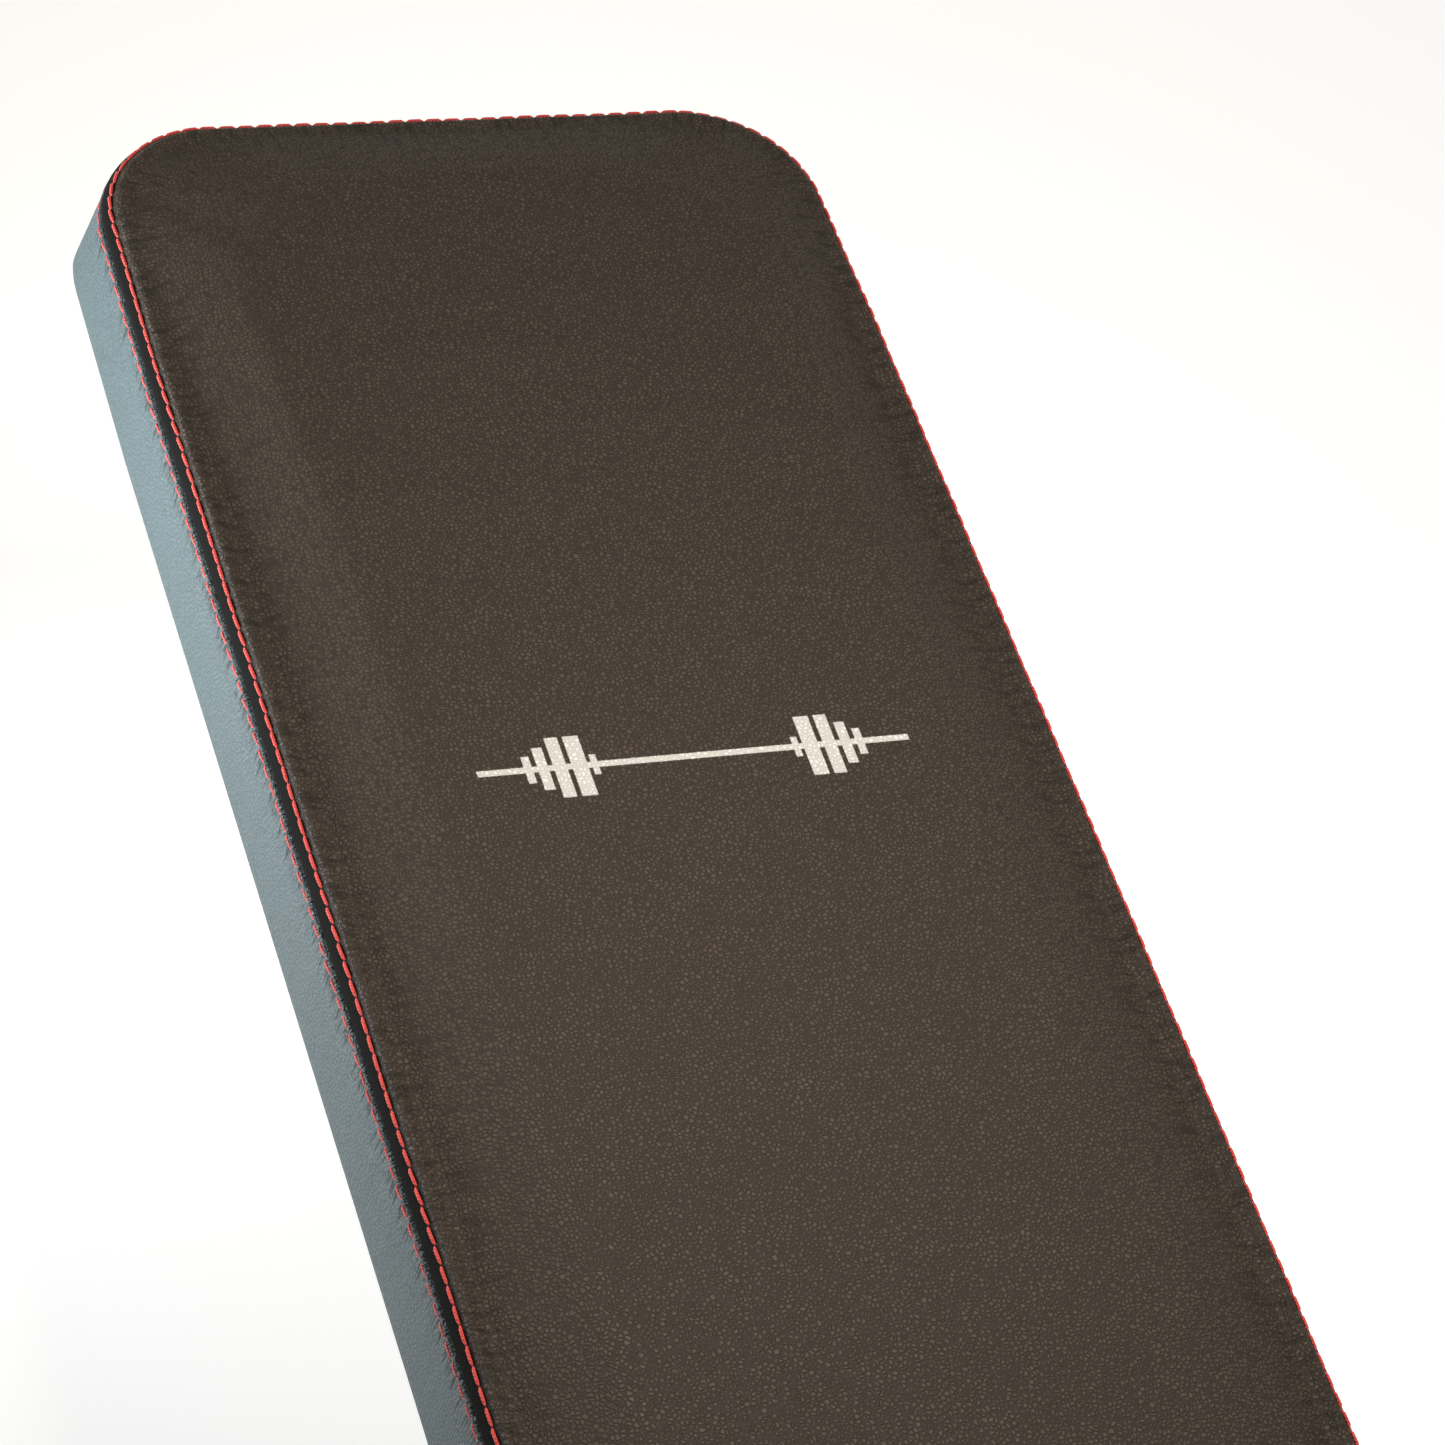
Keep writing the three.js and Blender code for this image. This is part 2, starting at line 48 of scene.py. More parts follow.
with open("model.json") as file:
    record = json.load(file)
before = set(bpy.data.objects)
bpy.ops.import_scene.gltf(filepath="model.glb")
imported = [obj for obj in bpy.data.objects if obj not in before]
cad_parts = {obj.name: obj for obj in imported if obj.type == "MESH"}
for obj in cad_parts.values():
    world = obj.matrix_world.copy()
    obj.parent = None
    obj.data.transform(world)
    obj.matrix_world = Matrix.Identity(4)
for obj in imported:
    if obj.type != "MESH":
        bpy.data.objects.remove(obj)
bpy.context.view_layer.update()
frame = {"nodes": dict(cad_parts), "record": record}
MM = 0.001
SIDES = {"left": -1, "right": 1}
UP = Vector((0, 0, 1))

# The pad's box comes from the frame. The rest are sizes of its sewn rim and its folded foot.
PAD_LOW, PAD_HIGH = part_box("pad_cover")
PAD_MIDDLE = (PAD_LOW + PAD_HIGH) / 2
BOARD_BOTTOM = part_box("pad_board")[0].z
CROWN_RISE = 14 * MM
CROWN_REACH = 46 * MM
SEAM_HEIGHT = PAD_HIGH.z - CROWN_RISE
PAD_CORNER = 52 * MM
TUCK = 26 * MM
STAPLE_INSET = 15 * MM
SEAM_GROOVE = 2.2 * MM
BAND_WIDTH = 4.5 * MM
BAND_RISE = 7.0 * MM
LIP_RISE = 2.2 * MM
STITCH_VALLEY = 0.8 * MM
SIDE_BOW = 2.0 * MM
FOOT_CORNER = 29 * MM
STITCH_DROP = 3.6 * MM
STITCH_THICKNESS = 1.25 * MM
FOLD_RADIUS = 1.2 * MM
VOXEL = 5 * MM
CLOTH_FRAMES = 20
# How far below the seam the side is cut into finer rings.
SIDE_CUTS = [drop * MM for drop in (0.7, 1.5, 2.5, 3.6, 4.8, 6.2)]


# -------- settings


def colour_setting(name, description, default):
    """A colour property."""
    return FloatVectorProperty(
        name=name, description=description, default=default, subtype="COLOR", size=3, min=0, max=1)


class BenchPadSettings(bpy.types.PropertyGroup):
    """Upholstery sizes and colours."""

    top_colour: colour_setting("Top vinyl", "Colour of the vinyl lain on", (0.067, 0.053, 0.040))
    side_colour: colour_setting("Side vinyl", "Colour of the vinyl round the sides", (0.049, 0.083, 0.091))
    thread_colour: colour_setting("Thread", "Colour of the decorative stitching", (0.66, 0.045, 0.030))
    print_colour: colour_setting("Pictogram", "Colour of the printed barbell", (0.80, 0.80, 0.78))
    grain: FloatProperty(
        name="Grain", description="Width of one pebble of the vinyl's grain", unit="LENGTH",
        min=0.0005, max=0.01, default=1.7 * MM)
    stitch_pitch: FloatProperty(
        name="Stitch pitch", description="Distance from one stitch to the next", unit="LENGTH",
        min=0.004, max=0.02, default=7.8 * MM)
    start_inset: FloatProperty(
        name="Start inset", description="How much smaller the form is before it swells", unit="LENGTH",
        min=0, max=0.01, default=0.8 * MM)
    pressure: FloatProperty(
        name="Stuffing pressure", description="Pressure that swells the cover", min=0, max=20, default=6)
    swell_limit: FloatProperty(
        name="Swell limit", description="Furthest that a point of the cover may move", unit="LENGTH",
        min=0, max=0.02, default=4.5 * MM)


class BenchFrameSettings(bpy.types.PropertyGroup):
    """Colours of the metal, plastic, rubber and wood."""

    coat_colour: colour_setting("Powder coat", "Colour of the painted steel", (0.020, 0.021, 0.023))
    plastic_colour: colour_setting("Plastic", "Colour of the caps and rack guards", (0.013, 0.013, 0.014))
    rubber_colour: colour_setting("Rubber", "Colour of the feet, bumpers and mat", (0.014, 0.014, 0.014))
    plywood_colour: colour_setting("Plywood", "Colour of the pad's board", (0.46, 0.29, 0.15))


class BenchStageSettings(bpy.types.PropertyGroup):
    """Floor, lights and camera."""

    floor_colour: colour_setting("Floor", "Colour of the studio floor", (0.88, 0.88, 0.88))
    floor_glow: FloatProperty(
        name="Floor glow", description="Light given off by the floor", min=0, max=2, default=0.46)
    brightness: FloatProperty(
        name="Lights", description="Multiplies the power of every light", min=0, max=10, default=1)
    sky_strength: FloatProperty(
        name="Fill", description="Strength of the even light from all round", min=0, max=5, default=0.2)
    lens: FloatProperty(
        name="Lens", description="Focal length of the camera, in millimetres", min=10, max=300,
        default=124.57)


# -------- modelling helpers


def deselect():
    """Back to object mode with nothing selected."""
    if bpy.context.object and bpy.context.object.mode != "OBJECT":
        bpy.ops.object.mode_set(mode="OBJECT")
    bpy.ops.object.select_all(action="DESELECT")


def bake_place():
    """Puts the selected objects' place, turn and scale into their meshes."""
    bpy.ops.object.transform_apply(location=True, rotation=True, scale=True)


def choose(*objects):
    """Selects only these objects and makes the first one active."""
    deselect()
    for each in objects:
        each.select_set(True)
    bpy.context.view_layer.objects.active = objects[0]


def select_where(piece, kind, test):
    """Leaves piece in edit mode with just the corners, edges or faces selected that pass test."""
    choose(piece)
    bpy.ops.object.mode_set(mode="EDIT")
    bpy.ops.mesh.select_mode(type=kind)
    bpy.ops.mesh.select_all(action="DESELECT")
    mesh = bmesh.from_edit_mesh(piece.data)
    for item in {"VERT": mesh.verts, "EDGE": mesh.edges, "FACE": mesh.faces}[kind]:
        if test(item):
            item.select_set(True)
    mesh.select_flush_mode()
    bmesh.update_edit_mesh(piece.data)


def settle(piece, name, smooth=35):
    """Names a modelled piece, puts its place into its mesh and smooths its round faces."""
    choose(piece)
    bake_place()
    bpy.ops.object.shade_smooth_by_angle(angle=math.radians(smooth))
    piece.name = name
    piece.data.name = name
    return piece


def add_block(low, high):
    """A box between two corners."""
    low, high = Vector(low), Vector(high)
    deselect()
    bpy.ops.mesh.primitive_cube_add(size=1, location=(low + high) / 2)
    block = bpy.context.object
    block.scale = high - low
    bake_place()
    return block


def add_rod(radius, depth, sides=32):
    """A cylinder standing on the origin along Z."""
    deselect()
    bpy.ops.mesh.primitive_cylinder_add(
        vertices=sides, radius=radius, depth=depth, location=(0, 0, depth / 2))
    rod = bpy.context.object
    bake_place()
    return rod


def bevel_where(piece, test, width, segments=2):
    """Rounds the edges that pass test."""
    select_where(piece, "EDGE", test)
    bpy.ops.mesh.bevel(offset=width, segments=segments, affect="EDGES")
    deselect()


def apply_modifier(piece, kind, **settings):
    """Adds a modifier with these settings and applies it."""
    choose(piece)
    bpy.ops.object.modifier_add(type=kind)
    modifier = piece.modifiers[-1]
    for key, value in settings.items():
        setattr(modifier, key, value)
    bpy.ops.object.modifier_apply(modifier=modifier.name)


def stamp(name, master, places):
    """Copies a small master shape to each place, as one piece with its own mesh."""
    shapes = bmesh.new()
    for place in places:
        first = len(shapes.verts)
        shapes.from_mesh(master.data)
        shapes.verts.ensure_lookup_table()
        bmesh.ops.transform(shapes, matrix=place, verts=shapes.verts[first:])
    mesh = bpy.data.meshes.new(name)
    shapes.to_mesh(mesh)
    shapes.free()
    for material in master.data.materials:
        mesh.materials.append(material)
    piece = bpy.data.objects.new(name, mesh)
    bpy.context.scene.collection.objects.link(piece)
    return piece


def discard(*objects):
    """Removes helper objects with their meshes."""
    for each in objects:
        mesh = each.data
        bpy.data.objects.remove(each)
        bpy.data.meshes.remove(mesh)


def placed(origin, forward, outward):
    """A matrix whose Y runs forward, whose Z points outward and whose origin is here."""
    y = Vector(forward).normalized()
    z = (Vector(outward) - y * y.dot(Vector(outward))).normalized()
    turn = Matrix((y.cross(z), y, z)).transposed().to_4x4()
    return Matrix.Translation(Vector(origin)) @ turn


def hand_over(piece, slot, body="frame"):
    """Gives a finished piece its finish, its slot and the body it rides on."""
    piece.data.materials.clear()
    piece.data.materials.append(finish(slot))
    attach(piece, body)
    return piece


class RoundedOutline:
    """A rectangle with round corners, centred on the origin of its own plane."""

    def __init__(self, half_x, half_y, corner):
        self.core_x = half_x - corner
        self.core_y = half_y - corner
        self.corner = corner
        self.length = 4 * (self.core_x + self.core_y) + 2 * math.pi * corner

    def at(self, run):
        """Place, heading and outward direction after a run from the middle of the far side."""
        run = run % self.length
        arc = math.pi / 2 * self.corner
        x, y = self.core_x, self.core_y
        straights = [
            ((0, y), (1, 0), x), ((x, y), (0, -1), 2 * y), ((x, -y), (-1, 0), 2 * x),
            ((-x, -y), (0, 1), 2 * y), ((-x, y), (1, 0), x),
        ]
        turned = 0.0
        for start, ahead, reach in straights:
            start, ahead = Vector(start), Vector(ahead)
            out = Vector((math.sin(turned), math.cos(turned)))
            if run <= reach:
                return start + ahead * run + out * self.corner, ahead, out
            run -= reach
            if run <= arc:
                angle = turned + run / self.corner
                out = Vector((math.sin(angle), math.cos(angle)))
                return start + ahead * reach + out * self.corner, Vector((out.y, -out.x)), out
            run -= arc
            turned += math.pi / 2
        return self.at(0)

    def run_of(self, x, y):
        """How far round the outline the nearest point to x, y is."""
        core = (max(-self.core_x, min(self.core_x, x)), max(-self.core_y, min(self.core_y, y)))
        out = self.outward(x, y)
        angle = math.atan2(out.x, out.y) % (2 * math.pi)
        side_x, side_y = 2 * self.core_x, 2 * self.core_y
        if angle < math.pi / 4 or angle > 7 * math.pi / 4:
            base = core[0] if core[0] >= 0 and angle < math.pi else 2 * (side_x + side_y) + core[0]
            if core[0] < 0 and angle < math.pi / 4:
                angle += 2 * math.pi
        elif angle <= 3 * math.pi / 4:
            base = self.core_x + self.core_y - core[1]
        elif angle <= 5 * math.pi / 4:
            base = self.core_x + side_y + self.core_x - core[0]
        else:
            base = self.core_x + side_y + side_x + self.core_y + core[1]
        return base + self.corner * angle

    def inset_of(self, x, y):
        """How far inside the outline a point is."""
        over_x, over_y = abs(x) - self.core_x, abs(y) - self.core_y
        beyond = math.hypot(max(over_x, 0), max(over_y, 0)) + min(max(over_x, over_y), 0)
        return self.corner - beyond

    def outward(self, x, y):
        """The outward direction at the outline's nearest point."""
        over = Vector((abs(x) - self.core_x, abs(y) - self.core_y))
        if over.x > 0 and over.y > 0:
            direction = over.normalized()
        elif over.x > over.y:
            direction = Vector((1, 0))
        else:
            direction = Vector((0, 1))
        return Vector((math.copysign(direction.x, x), math.copysign(direction.y, y)))


PAD_OUTLINE = RoundedOutline(
    (PAD_HIGH.x - PAD_LOW.x) / 2, (PAD_HIGH.y - PAD_LOW.y) / 2, PAD_CORNER)
SEAM_RUN = PAD_OUTLINE.length


# -------- shader helpers


class Signal:
    """A node's output that Python's operators turn into Math nodes."""

    def __init__(self, tree, socket):
        self.tree = tree
        self.socket = socket

    def math(self, operation, *values):
        """Adds a Math node."""
        node = self.tree.nodes.new("ShaderNodeMath")
        node.operation = operation
        for place, value in zip(node.inputs, values):
            plug(self.tree, value, place)
        return Signal(self.tree, node.outputs[0])

    def out(self, name):
        """Another output of the same node."""
        return Signal(self.tree, self.socket.node.outputs[name])

    def __add__(self, other):
        return self.math("ADD", self, other)

    def __sub__(self, other):
        return self.math("SUBTRACT", self, other)

    def __rsub__(self, other):
        return self.math("SUBTRACT", other, self)

    def __mul__(self, other):
        return self.math("MULTIPLY", self, other)

    def __abs__(self):
        return self.math("ABSOLUTE", self)

    __radd__ = __add__
    __rmul__ = __mul__

    def cosine(self):
        return self.math("COSINE", self)

    def high(self, other):
        return self.math("MAXIMUM", self, other)

    def step(self, start, end):
        """0 before start, 1 after end, smooth between."""
        node = self.tree.nodes.new("ShaderNodeMapRange")
        node.interpolation_type = "SMOOTHSTEP"
        plug(self.tree, self, node.inputs["Value"])
        node.inputs["From Min"].default_value = start
        node.inputs["From Max"].default_value = end
        return Signal(self.tree, node.outputs["Result"])


def plug(tree, value, socket):
    """Links a signal to a socket, or sets the socket to a value."""
    if isinstance(value, Signal):
        tree.links.new(value.socket, socket)
    else:
        socket.default_value = value


class Finish:
    """A material whose nodes are added one at a time."""

    def __init__(self, name):
        self.material = bpy.data.materials.new(name)
        self.material.use_nodes = True
        self.tree = self.material.node_tree
        self.tree.nodes.clear()
        self.place = self.node("TexCoord").out("Object")
        self.normal = None

    def node(self, kind, inputs=None, output=0, **settings):
        """Adds a node: its settings are set first, then its sockets' values or links."""
        node = self.tree.nodes.new("ShaderNode" + kind)
        for key, value in settings.items():
            setattr(node, key, value)
        for key, value in (inputs or {}).items():
            plug(self.tree, value, node.inputs[key])
        return Signal(self.tree, node.outputs[output])

    def axis(self, name):
        """The object's own X, Y or Z coordinate."""
        return self.node("SeparateXYZ", {"Vector": self.place}).out(name)

    def stretched(self, scale):
        """Object coordinates scaled by three numbers."""
        return self.node("Mapping", {"Vector": self.place, "Scale": scale})

    def noise(self, size, detail=3, roughness=0.5, vector=None):
        """Soft random values whose lumps are about size metres."""
        return self.node("TexNoise", {
            "Vector": vector or self.place, "Scale": 1 / size, "Detail": detail,
            "Roughness": roughness})

    def pebbles(self, size, vector=None):
        """Rounded cells with narrow valleys, as on embossed vinyl."""
        cells = self.node("TexVoronoi", {
            "Vector": vector or self.place, "Scale": 1 / size, "Randomness": 0.9},
            feature="DISTANCE_TO_EDGE")
        return cells.step(0.0, 0.32)

    def place_with(self, jitter, reach):
        """Object coordinates pushed about by a random value, so cells lose their straight sides."""
        push = self.node("CombineXYZ", {"X": jitter * reach, "Y": jitter * (-reach), "Z": 0.0})
        return self.node("VectorMath", {0: self.place, 1: push}, operation="ADD")

    def mix(self, start, end, factor):
        """A colour between two colours."""
        return self.node("Mix", {0: factor, 6: start, 7: end}, output=2, data_type="RGBA")

    def bump(self, height, distance, strength=1.0):
        """Adds relief of this depth in metres to what the surface has already."""
        sockets = {"Height": height, "Distance": distance, "Strength": strength}
        if self.normal:
            sockets["Normal"] = self.normal
        self.normal = self.node("Bump", sockets)

    def surface(self, colour, roughness, **constants):
        """Ends the material in a Principled shader."""
        sockets = {"Base Color": colour, "Roughness": roughness}
        if self.normal:
            sockets["Normal"] = self.normal
        for key, value in constants.items():
            sockets[key.replace("_", " ").title().replace("Ior", "IOR")] = value
        shader = self.node("BsdfPrincipled", sockets)
        output = self.tree.nodes.new("ShaderNodeOutputMaterial")
        self.tree.links.new(shader.socket, output.inputs["Surface"])
        return self.material


def tone(colour, factor=1.0):
    """A colour property as an opaque shader colour, made lighter or darker."""
    return (*(min(1.0, part * factor) for part in colour), 1.0)


# -------- finishes


def seam_map(work):
    """Run along the seam, and height above it, from the piece's own UV map."""
    parts = work.node("SeparateXYZ", {"Vector": work.node("UVMap", uv_map="seam")})
    return parts.out("X"), parts.out("Y")


def drape_relief(work, run, inset, drawn):
    """Soft swells, folds at the foot end, and creases drawn towards the seam, which it returns."""
    swells = work.noise(75 * MM, 2, 0.4, work.stretched((1.0, 0.5, 1.0)))
    work.bump(swells, 1.0 * MM, 0.5)
    slanted = work.node("Mapping", {
        "Vector": work.place, "Rotation": (0, 0, 0.22), "Scale": (6.5, 26, 6.5)})
    folds = work.noise(1.0, 2, 0.45, slanted).step(0.35, 0.8)
    work.bump(folds * work.axis("Y").step(-0.50, -0.68), 2.6 * MM, 0.6)
    across = work.node("CombineXYZ", {"X": run * 330, "Y": inset * 75})
    creases = work.noise(1.0, 3, 0.6, across)
    work.bump(creases * drawn, 1.3 * MM, 0.9)
    return creases


def pad_vinyl(name):
    """Dark embossed vinyl with a soft satin gloss, drawn tight over the crown."""
    pad = bpy.context.scene.bench_pad
    work = Finish(name)
    run, inset = seam_map(work)
    beyond = inset.step(BAND_WIDTH - 0.8 * MM, BAND_WIDTH + 1.2 * MM)
    drawn = beyond * (1 - inset.step(10 * MM, 34 * MM))
    creases = drape_relief(work, run, inset, drawn)
    warped = work.place_with(work.noise(4 * MM, 2), 0.9 * MM)
    cells = work.pebbles(pad.grain, warped)
    fine = work.noise(0.5 * MM, 2)
    relief = (cells + fine * 0.3) * (0.3 + beyond * 0.7)
    work.bump(relief, 0.24 * MM, 1.0)
    mottled = work.noise(22 * MM, 4, 0.6)
    light = work.mix(tone(pad.top_colour, 0.85), tone(pad.top_colour, 1.15), mottled)
    # Painted shade: the grain's valleys are darkened to 0.4 of the top colour, on top of their bump.
    colour = work.mix(tone(pad.top_colour, 0.40), light, cells)
    # Painted shade over the steep strip of the crown beside the top stitches and in its creases' valleys.
    colour = work.mix(colour, tone(pad.top_colour, 0.35), drawn * (1 - creases.step(0.38, 0.5)))
    # Painted shade: the band between the seam and the top stitches is the top's own vinyl, darkened to
    # near black.
    colour = work.mix(tone(pad.top_colour, 0.03), colour, beyond)
    colour = work.mix(colour, tone(pad.print_colour), barbell_print(work) * (0.6 + cells * 0.3))
    shine = 0.90 - (0.52 - mottled * 0.10 - (1 - cells) * 0.12) * beyond
    return work.surface(colour, shine, specular_ior_level=0.17)


# The printed barbell: its place along the pad, its bar, and each disc's inner edge, outer edge and
# half height.
PRINT_PLACE = -0.487
PRINT_BAR = (0, 84 * MM, 1.3 * MM)
PRINT_DISCS = [
    (38 * MM, 40.5 * MM, 4.5 * MM),
    (42 * MM, 48 * MM, 13.5 * MM),
    (50 * MM, 55 * MM, 13.5 * MM),
    (57 * MM, 61 * MM, 9.5 * MM),
    (63 * MM, 66 * MM, 6 * MM),
]


def barbell_print(work):
    """1 where the generic barbell pictogram is printed, across the pad."""
    across = abs(work.axis("X"))
    along = abs(work.axis("Y") - PRINT_PLACE)

    def patch(inner, outer, half):
        edge = 0.25 * MM
        inside = across.step(inner - edge, inner + edge) if inner else 1.0
        return (1 - across.step(outer - edge, outer + edge)) * inside * (
            1 - along.step(half - edge, half + edge))

    shape = patch(*PRINT_BAR)
    for inner, outer, half in PRINT_DISCS:
        shape = shape.high(patch(inner, outer, half))
    return shape


def pad_side_vinyl(name):
    """Blue-grey vinyl round the sides, gathered into short puckers under the seam."""
    pad = bpy.context.scene.bench_pad
    work = Finish(name)
    run, drop = seam_map(work)
    bands = work.noise(1.0, 2, 0.5, work.node("CombineXYZ", {"X": run * 42, "Y": drop * 8}))
    work.bump(bands * (1 - drop.step(0.02, 0.055)), 3.0 * MM, 0.4)
    reach = work.noise(1.0, 1, 0.5, work.node("CombineXYZ", {"X": run * 300}))
    strokes = work.noise(1.0, 2, 0.55, work.node("CombineXYZ", {"X": run * 520, "Y": drop * 60}))
    near = (drop - reach * 0.022).step(0.002, -0.007)
    pucker = strokes.step(0.46, 0.60) * near
    work.bump(pucker, -0.9 * MM, 1.0)
    cells = work.pebbles(pad.grain)
    work.bump(cells + work.noise(0.5 * MM, 2) * 0.3, 0.17 * MM, 0.9)
    mottled = work.noise(26 * MM, 4, 0.6)
    light = work.mix(tone(pad.side_colour, 0.88), tone(pad.side_colour, 1.12), mottled)
    # Painted shade: the grain's valleys are darkened to 0.62 of the side colour.
    colour = work.mix(tone(pad.side_colour, 0.62), light, cells.step(0.0, 0.6))
    # Painted shade in the creases of the puckers under the seam.
    colour = work.mix(colour, tone(pad.side_colour, 0.10), pucker * 0.9)
    # Painted shade on the narrow lip just below the seam, in the seam's groove.
    colour = work.mix(tone(pad.side_colour, 0.25), colour, drop.step(0.4 * MM, 2.4 * MM))
    shine = 0.42 + mottled * 0.10 + (1 - cells) * 0.10
    return work.surface(colour, shine, specular_ior_level=0.5)


def seam_thread(name):
    """Red twisted polyester thread."""
    pad = bpy.context.scene.bench_pad
    work = Finish(name)
    parts = work.node("SeparateXYZ", {"Vector": work.node("UVMap", uv_map="twist")})
    strands = ((parts.out("X") * 5 + parts.out("Y") * 2) * (2 * math.pi)).cosine()
    work.bump(strands, 0.10 * MM, 0.9)
    work.bump(work.noise(0.25 * MM, 2), 0.03 * MM, 0.6)
    # Painted shade in the grooves between the twisted strands, and painted highlight on the strands'
    # crowns.
    dark, light = tone(pad.thread_colour, 0.55), tone(pad.thread_colour, 1.15)
    colour = work.mix(dark, light, strands * 0.5 + 0.5)
    return work.surface(colour, 0.62 + strands * 0.06, sheen_weight=0.25, sheen_roughness=0.4)


def coated_steel(name, gloss):
    """Powder coat: satin paint with a fine orange peel and a little dust."""
    work = Finish(name)
    colour = bpy.context.scene.bench_frame.coat_colour
    peel = work.noise(1.6 * MM, 2, 0.5)
    grit = work.noise(0.35 * MM, 1)
    work.bump(peel + grit * 0.4, 0.07 * MM, 0.55)
    dust = work.noise(130 * MM, 5, 0.62).step(0.42, 0.78)
    scuffs = work.noise(1.0, 5, 0.7, work.stretched((45, 45, 6))).step(0.62, 0.72)
    base = work.mix(tone(colour), tone(colour, 1.9), dust * 0.6)
    colour = work.mix(base, tone(colour, 3.0), scuffs * 0.35)
    return work.surface(colour, gloss + dust * 0.14 + scuffs * 0.10, specular_ior_level=0.5)


def moulded(name, texture, gloss):
    """Moulded plastic with a spark-eroded texture."""
    work = Finish(name)
    colour = bpy.context.scene.bench_frame.plastic_colour
    work.bump(work.noise(texture, 3, 0.6), 0.08 * MM, 0.6)
    handling = work.noise(30 * MM, 4, 0.6)
    shade = work.mix(tone(colour, 0.85), tone(colour, 1.6), handling)
    return work.surface(shade, gloss + handling * 0.12)


def rubber(name, speck, gloss):
    """Dull rubber with a bloom and small specks."""
    work = Finish(name)
    colour = bpy.context.scene.bench_frame.rubber_colour
    specks = work.noise(speck, 2, 0.6)
    bloom = work.noise(18 * MM, 4, 0.65)
    work.bump(specks, 0.15 * MM, 0.6)
    shade = work.mix(tone(colour, 0.8), tone(colour, 2.3), bloom * 0.7 + specks.step(0.55, 0.7) * 0.2)
    return work.surface(shade, gloss + bloom * 0.12)


def platform_mat(name):
    """Rubber mat with rows of raised ribs across the deck."""
    work = Finish(name)
    colour = bpy.context.scene.bench_frame.rubber_colour
    ribs = (work.axis("Y") * (2 * math.pi / (6 * MM))).cosine().step(-0.2, 0.6)
    specks = work.noise(0.9 * MM, 2, 0.6)
    work.bump(ribs, 0.8 * MM, 0.9)
    work.bump(specks, 0.15 * MM, 0.5)
    dust = work.noise(60 * MM, 5, 0.6)
    shade = work.mix(tone(colour, 0.8), tone(colour, 2.8), dust.step(0.4, 0.8) * (1 - ribs * 0.5))
    return work.surface(shade, 0.66 + dust * 0.1)


def plate_horn_chrome(name):
    """Chromed tube with the fine rings that plates leave."""
    work = Finish(name)
    rings = work.noise(1.0, 3, 0.6, work.stretched((2600, 8, 8)))
    smears = work.noise(25 * MM, 4, 0.6)
    work.bump(rings, 0.012 * MM, 0.35)
    shade = work.mix((0.60, 0.61, 0.63, 1), (0.72, 0.73, 0.75, 1), smears)
    return work.surface(shade, 0.09 + smears * 0.10 + rings.step(0.55, 0.75) * 0.10, metallic=1.0)


# Heights of the levelling feet's bare hexagon and of the end of their threads.
HEXAGON_LOW = 17 * MM
HEXAGON_HIGH = 23 * MM
THREAD_END = 100 * MM
THREAD_PITCH = 1.75 * MM


def zinc_hardware(name):
    """Bright zinc-plated steel, with a thread on the stems of the levelling feet."""
    work = Finish(name)
    height = work.axis("Z")
    below = 1 - height.step(HEXAGON_LOW - 0.1 * MM, HEXAGON_LOW)
    on_stem = below.high(height.step(HEXAGON_HIGH, HEXAGON_HIGH + 0.1 * MM))
    on_stem = on_stem * (1 - height.step(THREAD_END, THREAD_END + 10 * MM))
    threads = (height * (2 * math.pi / THREAD_PITCH)).cosine()
    work.bump(threads * on_stem, 0.5 * MM, 0.8)
    cloudy = work.noise(9 * MM, 4, 0.6)
    work.bump(work.noise(0.6 * MM, 2), 0.02 * MM, 0.4)
    shade = work.mix((0.44, 0.45, 0.46, 1), (0.63, 0.64, 0.66, 1), cloudy)
    return work.surface(shade, 0.28 + cloudy * 0.16, metallic=1.0)


def plywood(name):
    """Birch plywood with long grain."""
    work = Finish(name)
    colour = bpy.context.scene.bench_frame.plywood_colour
    figure = work.noise(1.0, 4, 0.55, work.stretched((34, 2.2, 34)))
    pores = work.noise(1.0, 3, 0.6, work.stretched((900, 26, 900)))
    lines = (figure * 26).cosine() * 0.5 + 0.5
    work.bump(pores + lines * 0.3, 0.08 * MM, 0.6)
    shade = work.mix(tone(colour, 0.72), tone(colour, 1.2), lines * 0.55 + pores * 0.45)
    return work.surface(shade, 0.62 + pores * 0.1)


# Each slot's finish: what makes it, and the values that finishes with the same maker differ in.
FINISHES = {
    "pad_vinyl": (pad_vinyl,),
    "pad_side_vinyl": (pad_side_vinyl,),
    "seam_thread": (seam_thread,),
    "frame_powder_coat": (coated_steel, 0.34),
    "platform_steel": (coated_steel, 0.46),
    "end_cap_plastic": (moulded, 0.9 * MM, 0.40),
    "rack_guard_plastic": (moulded, 1.6 * MM, 0.33),
    "bumper_rubber": (rubber, 1.1 * MM, 0.62),
    "foot_rubber": (rubber, 0.8 * MM, 0.66),
    "platform_mat": (platform_mat,),
    "plate_horn_chrome": (plate_horn_chrome,),
    "zinc_hardware": (zinc_hardware,),
    "plywood": (plywood,),
}


def finish(slot):
    """The material for a slot, made the first time that it is asked for."""
    ready = bpy.data.materials.get(slot + "_finish")
    if ready is None:
        maker, *values = FINISHES[slot]
        ready = maker(slot + "_finish", *values)
    return ready


# -------- pad


def band_inset(rise):
    """How far inside the outline the band is at a height above the seam: a lip, then a steep slope."""
    groove = SEAM_GROOVE * (1 - min(1.0, rise / LIP_RISE)) ** 2.2
    return groove + BAND_WIDTH * min(1.0, rise / BAND_RISE) ** 1.25


def crown_height(inset):
    """Height of the top above the seam: the steep band up to the stitches, then the rising crown."""
    if inset < BAND_WIDTH:
        return BAND_RISE * max(0.0, inset / BAND_WIDTH) ** 0.8
    part = min(1.0, (inset - BAND_WIDTH) / (CROWN_REACH - BAND_WIDTH))
    return BAND_RISE + (CROWN_RISE - BAND_RISE) * (1 - (1 - part) ** 2.6) ** 0.70


